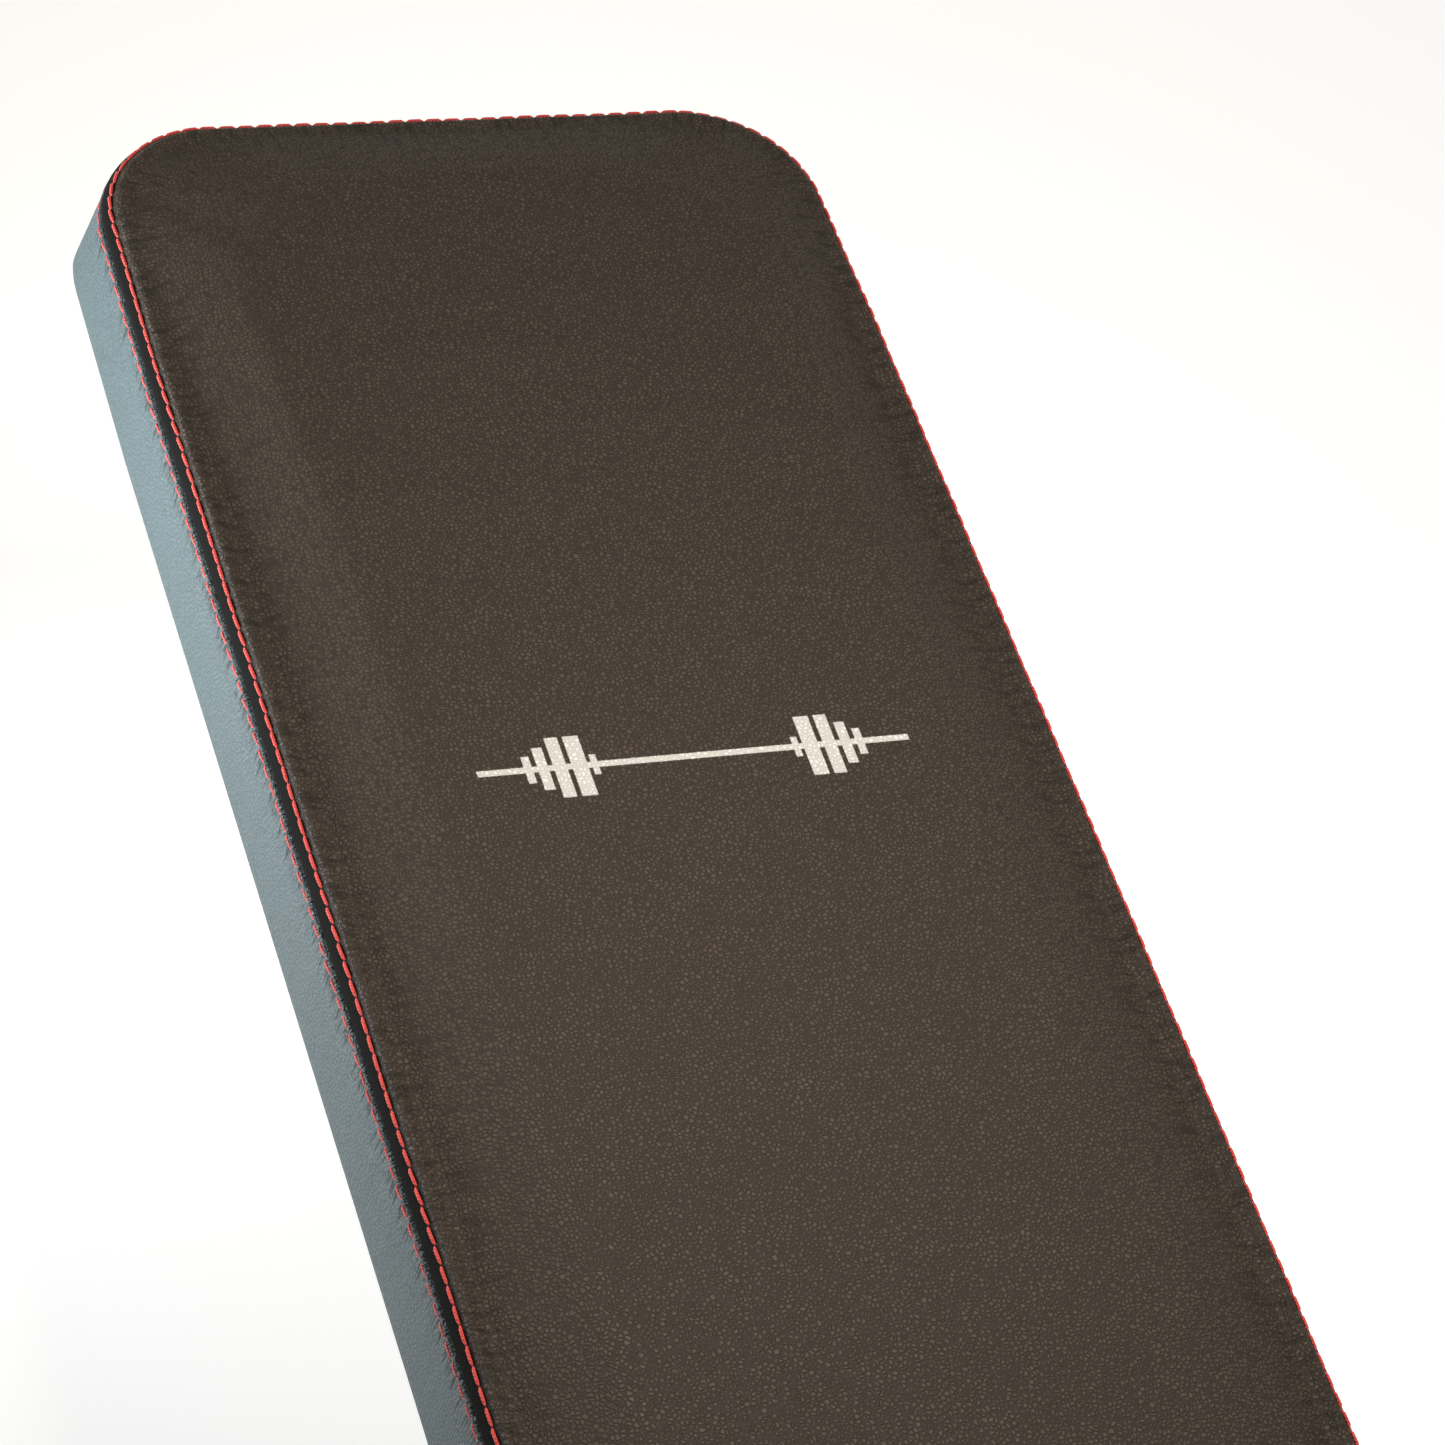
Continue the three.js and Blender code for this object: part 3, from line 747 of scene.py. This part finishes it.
def widen_foot(form):
    """Tightens the bottom corners, so that the side flares a little at each corner."""
    for corner in form.data.vertices:
        x, y = corner.co.x, corner.co.y - PAD_MIDDLE.y
        over_x, over_y = abs(x) - PAD_OUTLINE.core_x, abs(y) - PAD_OUTLINE.core_y
        if corner.co.z > SEAM_HEIGHT - 1 * MM or over_x < -0.1 * MM or over_y < -0.1 * MM:
            continue
        reach = math.hypot(over_x, over_y)
        spare = PAD_CORNER - FOOT_CORNER
        corner.co.x += math.copysign(spare * (1 - over_x / reach), x)
        corner.co.y += math.copysign(spare * (1 - over_y / reach), y)


def pad_form(pad):
    """The stuffed form before it swells: straight sides, round corners and a low crown."""
    inset = Vector((pad.start_inset, pad.start_inset, 0))
    low = PAD_LOW + inset
    high = PAD_HIGH - inset
    form = add_block(low, (high.x, high.y, SEAM_HEIGHT + LIP_RISE))

    def upright(edge):
        return abs((edge.verts[0].co - edge.verts[1].co).normalized().z) > 0.9

    bevel_where(form, upright, PAD_CORNER - pad.start_inset, 14)
    widen_foot(form)
    select_where(form, "FACE", lambda face: face.normal.z > 0.9)
    reach, rise = pad.start_inset, LIP_RISE
    for wanted in (BAND_WIDTH, *(number * 4 * MM for number in range(2, 12))):
        height = crown_height(wanted) - pad.start_inset
        bpy.ops.mesh.inset(thickness=wanted - reach)
        bpy.ops.transform.translate(value=(0, 0, height - rise))
        reach, rise = wanted, height
    deselect()
    return form


def is_held(place):
    """Whether a point of the cover stays put: at the bottom, at the seam or at the top's stitches."""
    if place.z < PAD_LOW.z + 9 * MM or abs(place.z - SEAM_HEIGHT) < 2.6 * MM:
        return True
    level = abs(place.z - SEAM_HEIGHT - BAND_RISE) < 1.5 * MM
    return level and seam_place(place)[0] < BAND_WIDTH + 2 * MM


def swell(form, pad):
    """Inflates the cover as cloth, held at its seams and its bottom, then caps how far it moved."""
    rest = [corner.co.copy() for corner in form.data.vertices]
    held = form.vertex_groups.new(name="held")
    held.add([index for index, place in enumerate(rest) if is_held(place)], 1.0, "REPLACE")
    choose(form)
    bpy.ops.object.modifier_add(type="CLOTH")
    cloth = form.modifiers[-1]
    cloth.settings.quality = 5
    cloth.settings.mass = 0.3
    cloth.settings.use_pressure = True
    cloth.settings.uniform_pressure_force = pad.pressure
    cloth.settings.effector_weights.gravity = 0
    cloth.settings.vertex_group_mass = held.name
    cloth.collision_settings.use_collision = False
    cloth.point_cache.frame_start = 1
    cloth.point_cache.frame_end = CLOTH_FRAMES
    for number in range(1, CLOTH_FRAMES + 1):
        bpy.context.scene.frame_set(number)
    bpy.ops.object.modifier_apply(modifier=cloth.name)
    bpy.context.scene.frame_set(1)
    for corner, place in zip(form.data.vertices, rest):
        moved = corner.co - place
        if moved.length > pad.swell_limit:
            corner.co = place + moved * (pad.swell_limit / moved.length)
    form.vertex_groups.clear()


def cut_level(piece, height, keep=None):
    """Cuts a level loop, and closes the cut where only the part above or below it is kept."""
    select_where(piece, "FACE", lambda face: True)
    bpy.ops.mesh.bisect(
        plane_co=(0, 0, height), plane_no=(0, 0, 1), use_fill=keep is not None,
        clear_inner=keep == "above", clear_outer=keep == "below")
    deselect()


def refine_rim(piece, test):
    """Splits the faces that pass test into quarters, where the sewing needs a finer mesh."""
    select_where(piece, "FACE", test)
    bpy.ops.mesh.subdivide(number_cuts=1)
    deselect()


def seam_place(co):
    """Inset and outward direction, in the pad's own plane, of a point of its cover."""
    x, y = co.x, co.y - PAD_MIDDLE.y
    out = PAD_OUTLINE.outward(x, y)
    return PAD_OUTLINE.inset_of(x, y), Vector((out.x, out.y, 0))


def sew_top(piece):
    """Shapes the rim of the top: the lip at the seam, the steep band and the stitches' valley."""
    for corner in piece.data.vertices:
        inset, out = seam_place(corner.co)
        rise = corner.co.z - SEAM_HEIGHT
        if inset > 4 * BAND_WIDTH or corner.co.z < PAD_LOW.z:
            continue
        if rise < BAND_RISE - LIP_RISE and inset < BAND_WIDTH:
            corner.co += out * (inset - band_inset(max(rise, 0.0)))
            continue
        flat = 1 - min(1.0, max(0.0, (inset - BAND_WIDTH) / (2 * BAND_WIDTH)))
        flat = flat * flat * (3 - 2 * flat)
        valley = STITCH_VALLEY * math.exp(-((inset - BAND_WIDTH) / (1.4 * MM)) ** 2)
        corner.co.z += (crown_height(inset) - rise) * flat - valley


def sew_side(piece):
    """Shapes the top of the side: the lip at the seam and the valley of its row of stitches."""
    for corner in piece.data.vertices:
        drop = SEAM_HEIGHT - corner.co.z
        if drop > 3 * STITCH_DROP:
            continue
        inset, out = seam_place(corner.co)
        if inset > 4 * MM:
            continue
        part = min(1.0, drop / (2.0 * MM))
        lip = SEAM_GROOVE * (1 - part) ** 2.2
        near = math.exp(-(drop / (5 * MM)) ** 2)
        valley = STITCH_VALLEY * math.exp(-((drop - STITCH_DROP) / (1.2 * MM)) ** 2)
        corner.co += out * ((inset - lip) * near - valley * (1 - near * 0.3))


def bow(place):
    """How far a point moves across, because the long sides bow out between the ends."""
    along = (place.y - PAD_LOW.y) / (PAD_HIGH.y - PAD_LOW.y)
    full = min(1.0, 3.2 * math.sin(math.pi * min(1.0, max(0.0, along))))
    return SIDE_BOW * full * place.x / PAD_HIGH.x


def map_seam(piece):
    """Writes the UV map that the sewing follows: run along the seam, and distance from it."""
    layer = piece.data.uv_layers.new(name="seam")
    runs = []
    for corner in piece.data.vertices:
        inset, _ = seam_place(corner.co)
        drop = max(0.0, SEAM_HEIGHT - corner.co.z)
        run = PAD_OUTLINE.run_of(corner.co.x, corner.co.y - PAD_MIDDLE.y)
        runs.append((run, max(inset, 0.0) if drop == 0 else drop))
    for face in piece.data.polygons:
        first = runs[face.vertices[0]][0]
        for loop in face.loop_indices:
            run, away = runs[piece.data.loops[loop].vertex_index]
            run -= SEAM_RUN * round((run - first) / SEAM_RUN)
            layer.data[loop].uv = (run, away)


def fold_under(piece):
    """Rounds the bottom edge, and leaves the board bare inside the folded margin."""
    cut_level(piece, PAD_LOW.z + 1.5 * FOLD_RADIUS, "above")
    select_where(piece, "FACE", lambda face: face.normal.z < -0.9 and len(face.verts) > 100)
    for inset, drop in ((0.15, 0.45), (0.35, 0.35), (0.5, 0.2)):
        bpy.ops.mesh.inset(thickness=inset * FOLD_RADIUS)
        bpy.ops.transform.translate(value=(0, 0, -1.5 * drop * FOLD_RADIUS))
    bpy.ops.mesh.inset(thickness=TUCK - FOLD_RADIUS)
    bpy.ops.mesh.extrude_region_move(
        TRANSFORM_OT_translate={"value": (0, 0, BOARD_BOTTOM + 2 * MM - PAD_LOW.z)})
    deselect()


def stitch_master(pad):
    """One stitch: a short thread, bowed up in its middle, whose ends dive into the vinyl."""
    length = pad.stitch_pitch * 0.98
    deselect()
    bpy.ops.mesh.primitive_cylinder_add(
        vertices=7, radius=STITCH_THICKNESS / 2, depth=length, end_fill_type="TRIFAN",
        rotation=(math.pi / 2, 0, 0))
    stitch = bpy.context.object
    bake_place()
    select_where(
        stitch, "EDGE", lambda edge: abs(edge.verts[0].co.y - edge.verts[1].co.y) > length / 2)
    bpy.ops.mesh.subdivide(number_cuts=4)
    deselect()
    layer = stitch.data.uv_layers.get("UVMap") or stitch.data.uv_layers.new(name="UVMap")
    layer.name = "twist"
    for loop in stitch.data.loops:
        place = stitch.data.vertices[loop.vertex_index].co
        layer.data[loop.index].uv = (
            place.y / length, math.atan2(place.x, place.z) / (2 * math.pi))
    for corner in stitch.data.vertices:
        part = corner.co.y / (length / 2)
        slim = 1 - 0.35 * part ** 6
        corner.co.x *= slim
        corner.co.z = corner.co.z * slim + 0.35 * MM - 0.65 * MM * part ** 6
    return stitch


def stitch_row(name, piece, pad, inset, level, upward, slant):
    """A row of stitches right round the pad, laid on the piece's surface from above or from outside."""
    choose(piece)
    surface = BVHTree.FromObject(piece, bpy.context.evaluated_depsgraph_get())
    count = round(SEAM_RUN / pad.stitch_pitch)
    master = stitch_master(pad)
    places = []
    for number in range(count):
        spot, ahead, out = PAD_OUTLINE.at((number + 0.5) * SEAM_RUN / count)
        out = Vector((out.x, out.y, 0))
        aim = UP if upward else out
        target = Vector((spot.x, spot.y + PAD_MIDDLE.y, level)) - out * inset
        target.x += bow(target)
        hit, normal, _, _ = surface.ray_cast(target + aim * 25 * MM, -aim)
        if hit is None:
            raise RuntimeError(f"{name}: stitch {number} misses the pad")
        wander = math.radians(slant + 3 * math.sin(number * 12.9898))
        turn = Matrix.Rotation(wander, 4, "Z")
        lift = Matrix.Translation((0, 0, 0.12 * MM * math.sin(number * 7.233)))
        places.append(placed(hit, (ahead.x, ahead.y, 0), normal) @ turn @ lift)
    row = stamp(name, master, places)
    discard(master)
    settle(row, name, 60)
    return hand_over(row, "seam_thread")


def shape_top(piece):
    """Cuts the top free at the seam and sews its rim on a finer mesh."""
    cut_level(piece, SEAM_HEIGHT, "above")
    refine_rim(piece, lambda face: seam_place(face.calc_center_median())[0] < 2.5 * BAND_WIDTH
               and face.normal.z > -0.5)
    sew_top(piece)


def shape_side(piece):
    """Cuts the side free at the seam, sews its top on a finer mesh and folds its foot under."""
    cut_level(piece, SEAM_HEIGHT, "below")
    for drop in SIDE_CUTS:
        cut_level(piece, SEAM_HEIGHT - drop)
    sew_side(piece)
    fold_under(piece)


class BENCH_OT_pad(bpy.types.Operator):
    """Make the upholstered pad: swollen cover, sewn rim and folded underside"""

    bl_idname = "bench.pad"
    bl_label = "Pad"

    def execute(self, context):
        pad = context.scene.bench_pad
        form = pad_form(pad)
        apply_modifier(form, "REMESH", mode="VOXEL", voxel_size=VOXEL)
        swell(form, pad)
        apply_modifier(form, "SUBSURF", levels=1, render_levels=1)
        side = form.copy()
        side.data = form.data.copy()
        context.scene.collection.objects.link(side)
        shape_top(form)
        shape_side(side)
        for piece, name, slot, node in (
                (form, "pad_top", "pad_vinyl", "pad_cover"),
                (side, "pad_side", "pad_side_vinyl", "pad_foam")):
            map_seam(piece)
            for corner in piece.data.vertices:
                corner.co.x += bow(corner.co)
            settle(piece, name, 70)
            hand_over(piece, slot)
            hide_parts(node)
        return {"FINISHED"}


class BENCH_OT_stitching(bpy.types.Operator):
    """Lay the two rows of red stitching beside the pad's seam"""

    bl_idname = "bench.stitching"
    bl_label = "Stitching"

    def execute(self, context):
        pad = context.scene.bench_pad
        top, side = bpy.data.objects["pad_top"], bpy.data.objects["pad_side"]
        stitch_row("pad_top_stitches", top, pad, BAND_WIDTH - 0.9 * MM, SEAM_HEIGHT, True, 2)
        stitch_row("pad_side_stitches", side, pad, BAND_WIDTH, SEAM_HEIGHT - STITCH_DROP, False, 8)
        return {"FINISHED"}


class BENCH_OT_staples(bpy.types.Operator):
    """Staple the folded vinyl to the board under the pad"""

    bl_idname = "bench.staples"
    bl_label = "Staples"

    def execute(self, context):
        wire = 0.9 * MM
        staple = add_block((-wire / 2, -5 * MM, -0.3 * MM), (wire / 2, 5 * MM, wire))
        bevel_where(staple, lambda edge: True, 0.25 * MM, 1)
        line = RoundedOutline(
            PAD_OUTLINE.core_x + PAD_CORNER - STAPLE_INSET,
            PAD_OUTLINE.core_y + PAD_CORNER - STAPLE_INSET, FOOT_CORNER - STAPLE_INSET)
        count = round(line.length / (28 * MM))
        places = []
        for number in range(count):
            spot, ahead, out = line.at(number * line.length / count)
            along = Vector((ahead.x, ahead.y, 0)) + Vector((out.x, out.y, 0)) * 0.25 * (-1) ** number
            place = (spot.x, spot.y + PAD_MIDDLE.y, PAD_LOW.z)
            places.append(placed(place, along, -UP))
        row = stamp("pad_staples", staple, places)
        discard(staple)
        hand_over(settle(row, "pad_staples"), "zinc_hardware")
        return {"FINISHED"}


# -------- frame


REPLACED_BY_PAD = ("pad_cover", "pad_foam")
SHARP_EDGE = {
    "frame_powder_coat": 0.5 * MM, "platform_steel": 0.5 * MM, "rack_guard_plastic": 0.8 * MM,
    "bumper_rubber": 1.2 * MM, "foot_rubber": 0.8 * MM, "zinc_hardware": 0.4 * MM,
    "platform_mat": 1.0 * MM, "end_cap_plastic": 0.5 * MM, "plate_horn_chrome": 0.4 * MM,
}


def body_of_node(name):
    """The body that a CAD node rides on."""
    bodies = frame["record"]["behaviour"]["bodies"]
    return next(body for body, nodes in bodies.items() if name in nodes)


def dressed_copy(name, node):
    """A merged, smoothed copy of a CAD node, with its sharp edges eased."""
    slot = node.data.materials[0].name
    mesh = node.data.copy()
    piece = bpy.data.objects.new(name + "_finished", mesh)
    bpy.context.scene.collection.objects.link(piece)
    choose(piece)
    bpy.ops.mesh.customdata_custom_splitnormals_clear()
    select_where(piece, "VERT", lambda corner: True)
    bpy.ops.mesh.remove_doubles(threshold=0.01 * MM)
    bpy.ops.mesh.dissolve_limited(angle_limit=math.radians(0.5))
    deselect()
    if slot in SHARP_EDGE:
        apply_modifier(
            piece, "BEVEL", width=SHARP_EDGE[slot], segments=2, limit_method="ANGLE",
            angle_limit=math.radians(50), use_clamp_overlap=True)
    settle(piece, name + "_finished", 40)
    apply_modifier(piece, "WEIGHTED_NORMAL", keep_sharp=True)
    hand_over(piece, slot, body_of_node(name))
    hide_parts(name)
    return piece


class BENCH_OT_frame(bpy.types.Operator):
    """Finish every rigid part of the frame: eased edges and its own material"""

    bl_idname = "bench.frame"
    bl_label = "Frame parts"

    def execute(self, context):
        for name, node in sorted(frame["nodes"].items()):
            if name not in REPLACED_BY_PAD:
                dressed_copy(name, node)
        return {"FINISHED"}


# -------- welds and fasteners


WELD_PITCH = 3.0 * MM
WELD_RADIUS = 3.0 * MM
TUBE_HALF = 50 * MM
RUNNER_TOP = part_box("left_base_runner")[1].z
UPRIGHT_RAKE = math.radians(10)
STRUT_RAKE = math.radians(27.5)
FLANGE_BOLT_INSET = (21 * MM, 22 * MM)


def weld_drop(radius):
    """One ripple of a weld bead: a squashed drop, wider than it is long."""
    deselect()
    bpy.ops.mesh.primitive_uv_sphere_add(segments=8, ring_count=6, radius=radius)
    drop = bpy.context.object
    drop.scale = (1.0, 0.72, 0.62)
    bake_place()
    return drop


def bead_round(centre, across, along, half_across, half_along, corner=6 * MM):
    """Places of the ripples round a tube's foot, on the plane of two directions."""
    across, along = Vector(across).normalized(), Vector(along).normalized()
    outline = RoundedOutline(half_across, half_along, corner)
    count = round(outline.length / WELD_PITCH)
    for number in range(count):
        spot, ahead, out = outline.at(number * outline.length / count)
        outward = across * out.x + along * out.y
        raised = outward + across.cross(along) * 0.9
        place = Vector(centre) + across * spot.x + along * spot.y
        yield placed(place, across * ahead.x + along * ahead.y, raised)


def bead_straight(start, end, outward):
    """Places of the ripples along a straight joint."""
    start, end = Vector(start), Vector(end)
    count = max(2, round((end - start).length / WELD_PITCH))
    for number in range(count + 1):
        yield placed(start.lerp(end, number / count), end - start, outward)


def middle_and_half(node):
    """The middle of a CAD node's box, and half its size."""
    low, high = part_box(node)
    return (low + high) / 2, (high - low) / 2


def weld(name, places, radius=WELD_RADIUS):
    """One bead as a piece of the welded frame."""
    drop = weld_drop(radius)
    bead = stamp(name, drop, places)
    discard(drop)
    return hand_over(settle(bead, name, 60), "frame_powder_coat")


def weld_side_frame(name, side):
    """Beads of one side: upright and strut on the runner, and the cross members' ends."""
    middle, half = middle_and_half(f"{name}_upright")
    deep = TUBE_HALF / math.cos(UPRIGHT_RAKE)
    weld(f"weld_{name}_upright_foot", bead_round(
        (middle.x, middle.y - half.y + deep, RUNNER_TOP), (1, 0, 0), (0, 1, 0), half.x, deep))
    strut, half = middle_and_half(f"{name}_rear_strut")
    deep = half.x / math.cos(STRUT_RAKE)
    weld(f"weld_{name}_strut_foot", bead_round(
        (middle.x, strut.y + half.y - deep, RUNNER_TOP), (1, 0, 0), (0, 1, 0), half.x, deep))
    for beam in ("upper_crossbeam", "front_platform_beam", "rear_platform_beam"):
        middle, half = middle_and_half(beam)
        end_x = (middle.x + half.x + 0.2 * MM) * side
        weld(f"weld_{name}_{beam}", bead_round(
            (end_x, middle.y, middle.z), (0, 1, 0), (0, 0, side), half.y, half.z))


def weld_spine():
    """Beads of the middle: front leg, its gusset, the spine's flange and the pad's brackets."""
    middle, half = middle_and_half("front_leg")
    for name, turn in (("foot", 1), ("head", -1)):
        weld(f"weld_front_leg_{name}", bead_round(
            (middle.x, middle.y, middle.z - turn * half.z), (1, 0, 0), (0, turn, 0),
            half.x, half.y))
    middle, half = middle_and_half("spine_beam")
    weld("weld_spine_flange", bead_round(
        (middle.x, middle.y + half.y, middle.z), (1, 0, 0), (0, 0, 1), 30 * MM, TUBE_HALF))
    low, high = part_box("front_leg_gusset")
    for name, side in SIDES.items():
        x = side * high.x
        weld(f"weld_gusset_{name}", [
            *bead_straight((x, low.y, low.z + 8 * MM), (x, low.y, high.z), (side, 1, 0)),
            *bead_straight((x, low.y, high.z), (x, high.y - 8 * MM, high.z), (side, 0, -1))],
            2.4 * MM)
    for name in ("foot_end", "middle", "head_end"):
        low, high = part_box(f"{name}_pad_bracket")
        for side_name, side in SIDES.items():
            weld(f"weld_{name}_bracket_{side_name}", bead_straight(
                (side * 30 * MM, low.y + 6 * MM, low.z), (side * 30 * MM, high.y - 6 * MM, low.z),
                (side, 0, -1)), 2.2 * MM)


class BENCH_OT_welds(bpy.types.Operator):
    """Run a rippled bead round every welded joint"""

    bl_idname = "bench.welds"
    bl_label = "Weld beads"

    def execute(self, context):
        for name, side in SIDES.items():
            weld_side_frame(name, side)
        weld_spine()
        return {"FINISHED"}


def hex_bolt(width, height, washer):
    """A hexagon head with a chamfered top on a round washer, standing on the origin along Z."""
    ring = add_rod(washer, 2.4 * MM, 36)
    bevel_where(ring, lambda edge: edge.calc_length() < 4 * MM and edge.verts[0].co.z > 2 * MM
                and edge.verts[1].co.z > 2 * MM, 0.5 * MM)
    head = add_rod(width / math.sqrt(3), height, 6)
    head.location.z = 2.3 * MM
    choose(head)
    bake_place()
    top = height + 2.2 * MM
    bevel_where(head, lambda edge: min(corner.co.z for corner in edge.verts) > top, 0.9 * MM, 2)
    choose(ring, head)
    bpy.ops.object.join()
    return ring


def button_screw(radius, height):
    """A domed screw head with a hexagon socket, standing on the origin along Z."""
    screw = add_rod(radius, height, 28)
    select_where(screw, "FACE", lambda face: face.normal.z > 0.9)
    bpy.ops.mesh.inset(thickness=radius * 0.30)
    bpy.ops.transform.translate(value=(0, 0, height * 0.35))
    bpy.ops.mesh.inset(thickness=radius * 0.30)
    bpy.ops.transform.translate(value=(0, 0, height * 0.12))
    bpy.ops.mesh.inset(thickness=radius * 0.02)
    bpy.ops.transform.translate(value=(0, 0, -height * 0.9))
    deselect()
    return screw


def flange_bolts():
    """Four bolt heads on the spine's flange, and their nuts behind the beam."""
    low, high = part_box("spine_flange")
    beam_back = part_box("upper_crossbeam")[1].y
    inset_x, inset_z = FLANGE_BOLT_INSET
    spots = [(x, z) for x in (low.x + inset_x, high.x - inset_x)
             for z in (low.z + inset_z, high.z - inset_z)]
    bolt = hex_bolt(18 * MM, 7.5 * MM, 12 * MM)
    heads = stamp("flange_bolts", bolt, [
        placed((x, low.y, z), (0, 0, 1), (0, -1, 0)) for x, z in spots])
    nuts = stamp("flange_nuts", bolt, [
        placed((x, beam_back, z), (0, 0, 1), (0, 1, 0)) for x, z in spots])
    discard(bolt)
    return [heads, nuts]


def deck_screws():
    """Button screws through the deck beside the mat, into both platform beams."""
    deck_low, deck_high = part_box("spotter_deck")
    mat_low, mat_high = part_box("spotter_mat")
    margins = ((deck_low.x + mat_low.x) / 2, (deck_high.x + mat_high.x) / 2)
    beams = [sum(corner.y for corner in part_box(f"{end}_platform_beam")) / 2
             for end in ("front", "rear")]
    screw = button_screw(5.2 * MM, 2.4 * MM)
    screws = stamp("deck_screws", screw, [
        placed((x, y, deck_high.z), (0, 1, 0), UP) for x in margins for y in beams])
    discard(screw)
    return [screws]


class BENCH_OT_fasteners(bpy.types.Operator):
    """Fit the flange's bolts and nuts, and the deck's screws"""

    bl_idname = "bench.fasteners"
    bl_label = "Fasteners"

    def execute(self, context):
        for piece in flange_bolts() + deck_screws():
            hand_over(settle(piece, piece.name, 30), "zinc_hardware")
        return {"FINISHED"}


# -------- stage


FLOOR_SIZE = 120
CAMERA_PLACE = Vector((0.6759, 0.5082, 1.7815))
CAMERA_RIGHT = Vector((-0.9214, 0.2968, 0.2517))
CAMERA_UP = Vector((-0.0790, -0.7760, 0.6260))
SENSOR_WIDTH = 36
CLIP_START, CLIP_END = 0.05, 200

# Each soft box: place, point it faces, size, power in watts, colour and spread in degrees.
WARM, COOL = (1.0, 0.90, 0.79), (0.92, 0.97, 1.0)
LIGHTS = {
    "overhead_box": ((-0.9, -1.7, 2.9), (0, -0.4, 0.4), 2.0, 20, WARM, 180),
    "right_box": ((-2.6, -1.0, 1.4), (0, -0.4, 0.4), 1.2, 4, COOL, 180),
    "low_box": ((0.62, -0.72, 0.36), (0.15, -0.68, 0.41), 0.25, 3.1, COOL, 110),
    "middle_box": ((0, -0.42, 1.2), (0, -0.42, 0.44), 0.3, 2.9, WARM, 120),
    "corner_box": ((0.5, -2.75, 1.9), (0.1, -0.8, 0.4), 0.7, 6.5, WARM, 180),
}


def add_light(name, place, target, size, power, colour, spread):
    """A square soft box that faces a point."""
    deselect()
    bpy.ops.object.light_add(type="AREA", location=place)
    lamp = bpy.context.object
    lamp.name = name
    lamp.data.shape = "SQUARE"
    lamp.data.size = size
    lamp.data.energy = power
    lamp.data.color = colour
    lamp.data.spread = math.radians(spread)
    lamp.visible_camera = False
    lamp.rotation_euler = (Vector(target) - Vector(place)).to_track_quat("-Z", "Y").to_euler()


def studio_world(strength):
    """Even pale light from all round."""
    world = bpy.data.worlds.new("studio_world")
    world.use_nodes = True
    world.node_tree.nodes["Background"].inputs["Color"].default_value = (1, 1, 1, 1)
    world.node_tree.nodes["Background"].inputs["Strength"].default_value = strength
    bpy.context.scene.world = world


def add_camera(lens):
    """The scene's camera, turned so that its own right and up run as given."""
    deselect()
    bpy.ops.object.camera_add(location=CAMERA_PLACE)
    camera = bpy.context.object
    camera.name = "studio_camera"
    back = CAMERA_RIGHT.cross(CAMERA_UP)
    turn = Matrix((CAMERA_RIGHT, CAMERA_UP, back)).transposed()
    camera.rotation_mode = "QUATERNION"
    camera.rotation_quaternion = turn.to_quaternion()
    camera.data.lens = lens
    camera.data.sensor_width = SENSOR_WIDTH
    camera.data.clip_start = CLIP_START
    camera.data.clip_end = CLIP_END
    bpy.context.scene.camera = camera


class BENCH_OT_stage(bpy.types.Operator):
    """Set up the pale floor, the soft lights and the camera"""

    bl_idname = "bench.stage"
    bl_label = "Studio stage"

    def execute(self, context):
        stage = context.scene.bench_stage
        deselect()
        bpy.ops.mesh.primitive_plane_add(size=FLOOR_SIZE, location=(0, 0, 0))
        floor = bpy.context.object
        floor.name = "studio_floor"
        work = Finish("studio_floor")
        work.surface(
            tone(stage.floor_colour), 0.9, specular_ior_level=0.1,
            emission_color=(1, 1, 1, 1), emission_strength=stage.floor_glow)
        floor.data.materials.append(work.material)
        for name, (place, target, size, power, colour, spread) in LIGHTS.items():
            add_light(name, place, target, size, power * stage.brightness, colour, spread)
        studio_world(stage.sky_strength)
        add_camera(stage.lens)
        context.scene.view_settings.view_transform = "Standard"
        return {"FINISHED"}


# -------- panel and registration


STEPS = (
    BENCH_OT_stage, BENCH_OT_pad, BENCH_OT_stitching, BENCH_OT_staples, BENCH_OT_frame,
    BENCH_OT_welds, BENCH_OT_fasteners)


class BENCH_PT_parts(bpy.types.Panel):
    """Buttons for the operators, and the sizes and colours they read"""

    bl_idname = "BENCH_PT_parts"
    bl_label = "Bench Press"
    bl_space_type = "VIEW_3D"
    bl_region_type = "UI"
    bl_category = "Bench Press"

    def draw(self, context):
        for step in STEPS:
            self.layout.operator(step.bl_idname)
        for group in SETTINGS:
            settings = getattr(context.scene, group)
            box = self.layout.box()
            for name in settings.bl_rna.properties.keys():
                if name not in ("rna_type", "name"):
                    box.prop(settings, name)


SETTINGS = {
    "bench_pad": BenchPadSettings, "bench_frame": BenchFrameSettings,
    "bench_stage": BenchStageSettings}


def register():
    for each in (*SETTINGS.values(), *STEPS, BENCH_PT_parts):
        bpy.utils.register_class(each)
    for name, group in SETTINGS.items():
        setattr(bpy.types.Scene, name, PointerProperty(type=group))


def unregister():
    for name in SETTINGS:
        delattr(bpy.types.Scene, name)
    for each in (BENCH_PT_parts, *reversed(STEPS), *reversed(SETTINGS.values())):
        bpy.utils.unregister_class(each)


def main():
    register()
    bpy.ops.bench.stage()
    bpy.ops.bench.pad()
    bpy.ops.bench.stitching()
    bpy.ops.bench.staples()
    bpy.ops.bench.frame()
    bpy.ops.bench.welds()
    bpy.ops.bench.fasteners()


if __name__ == "__main__":
    main()
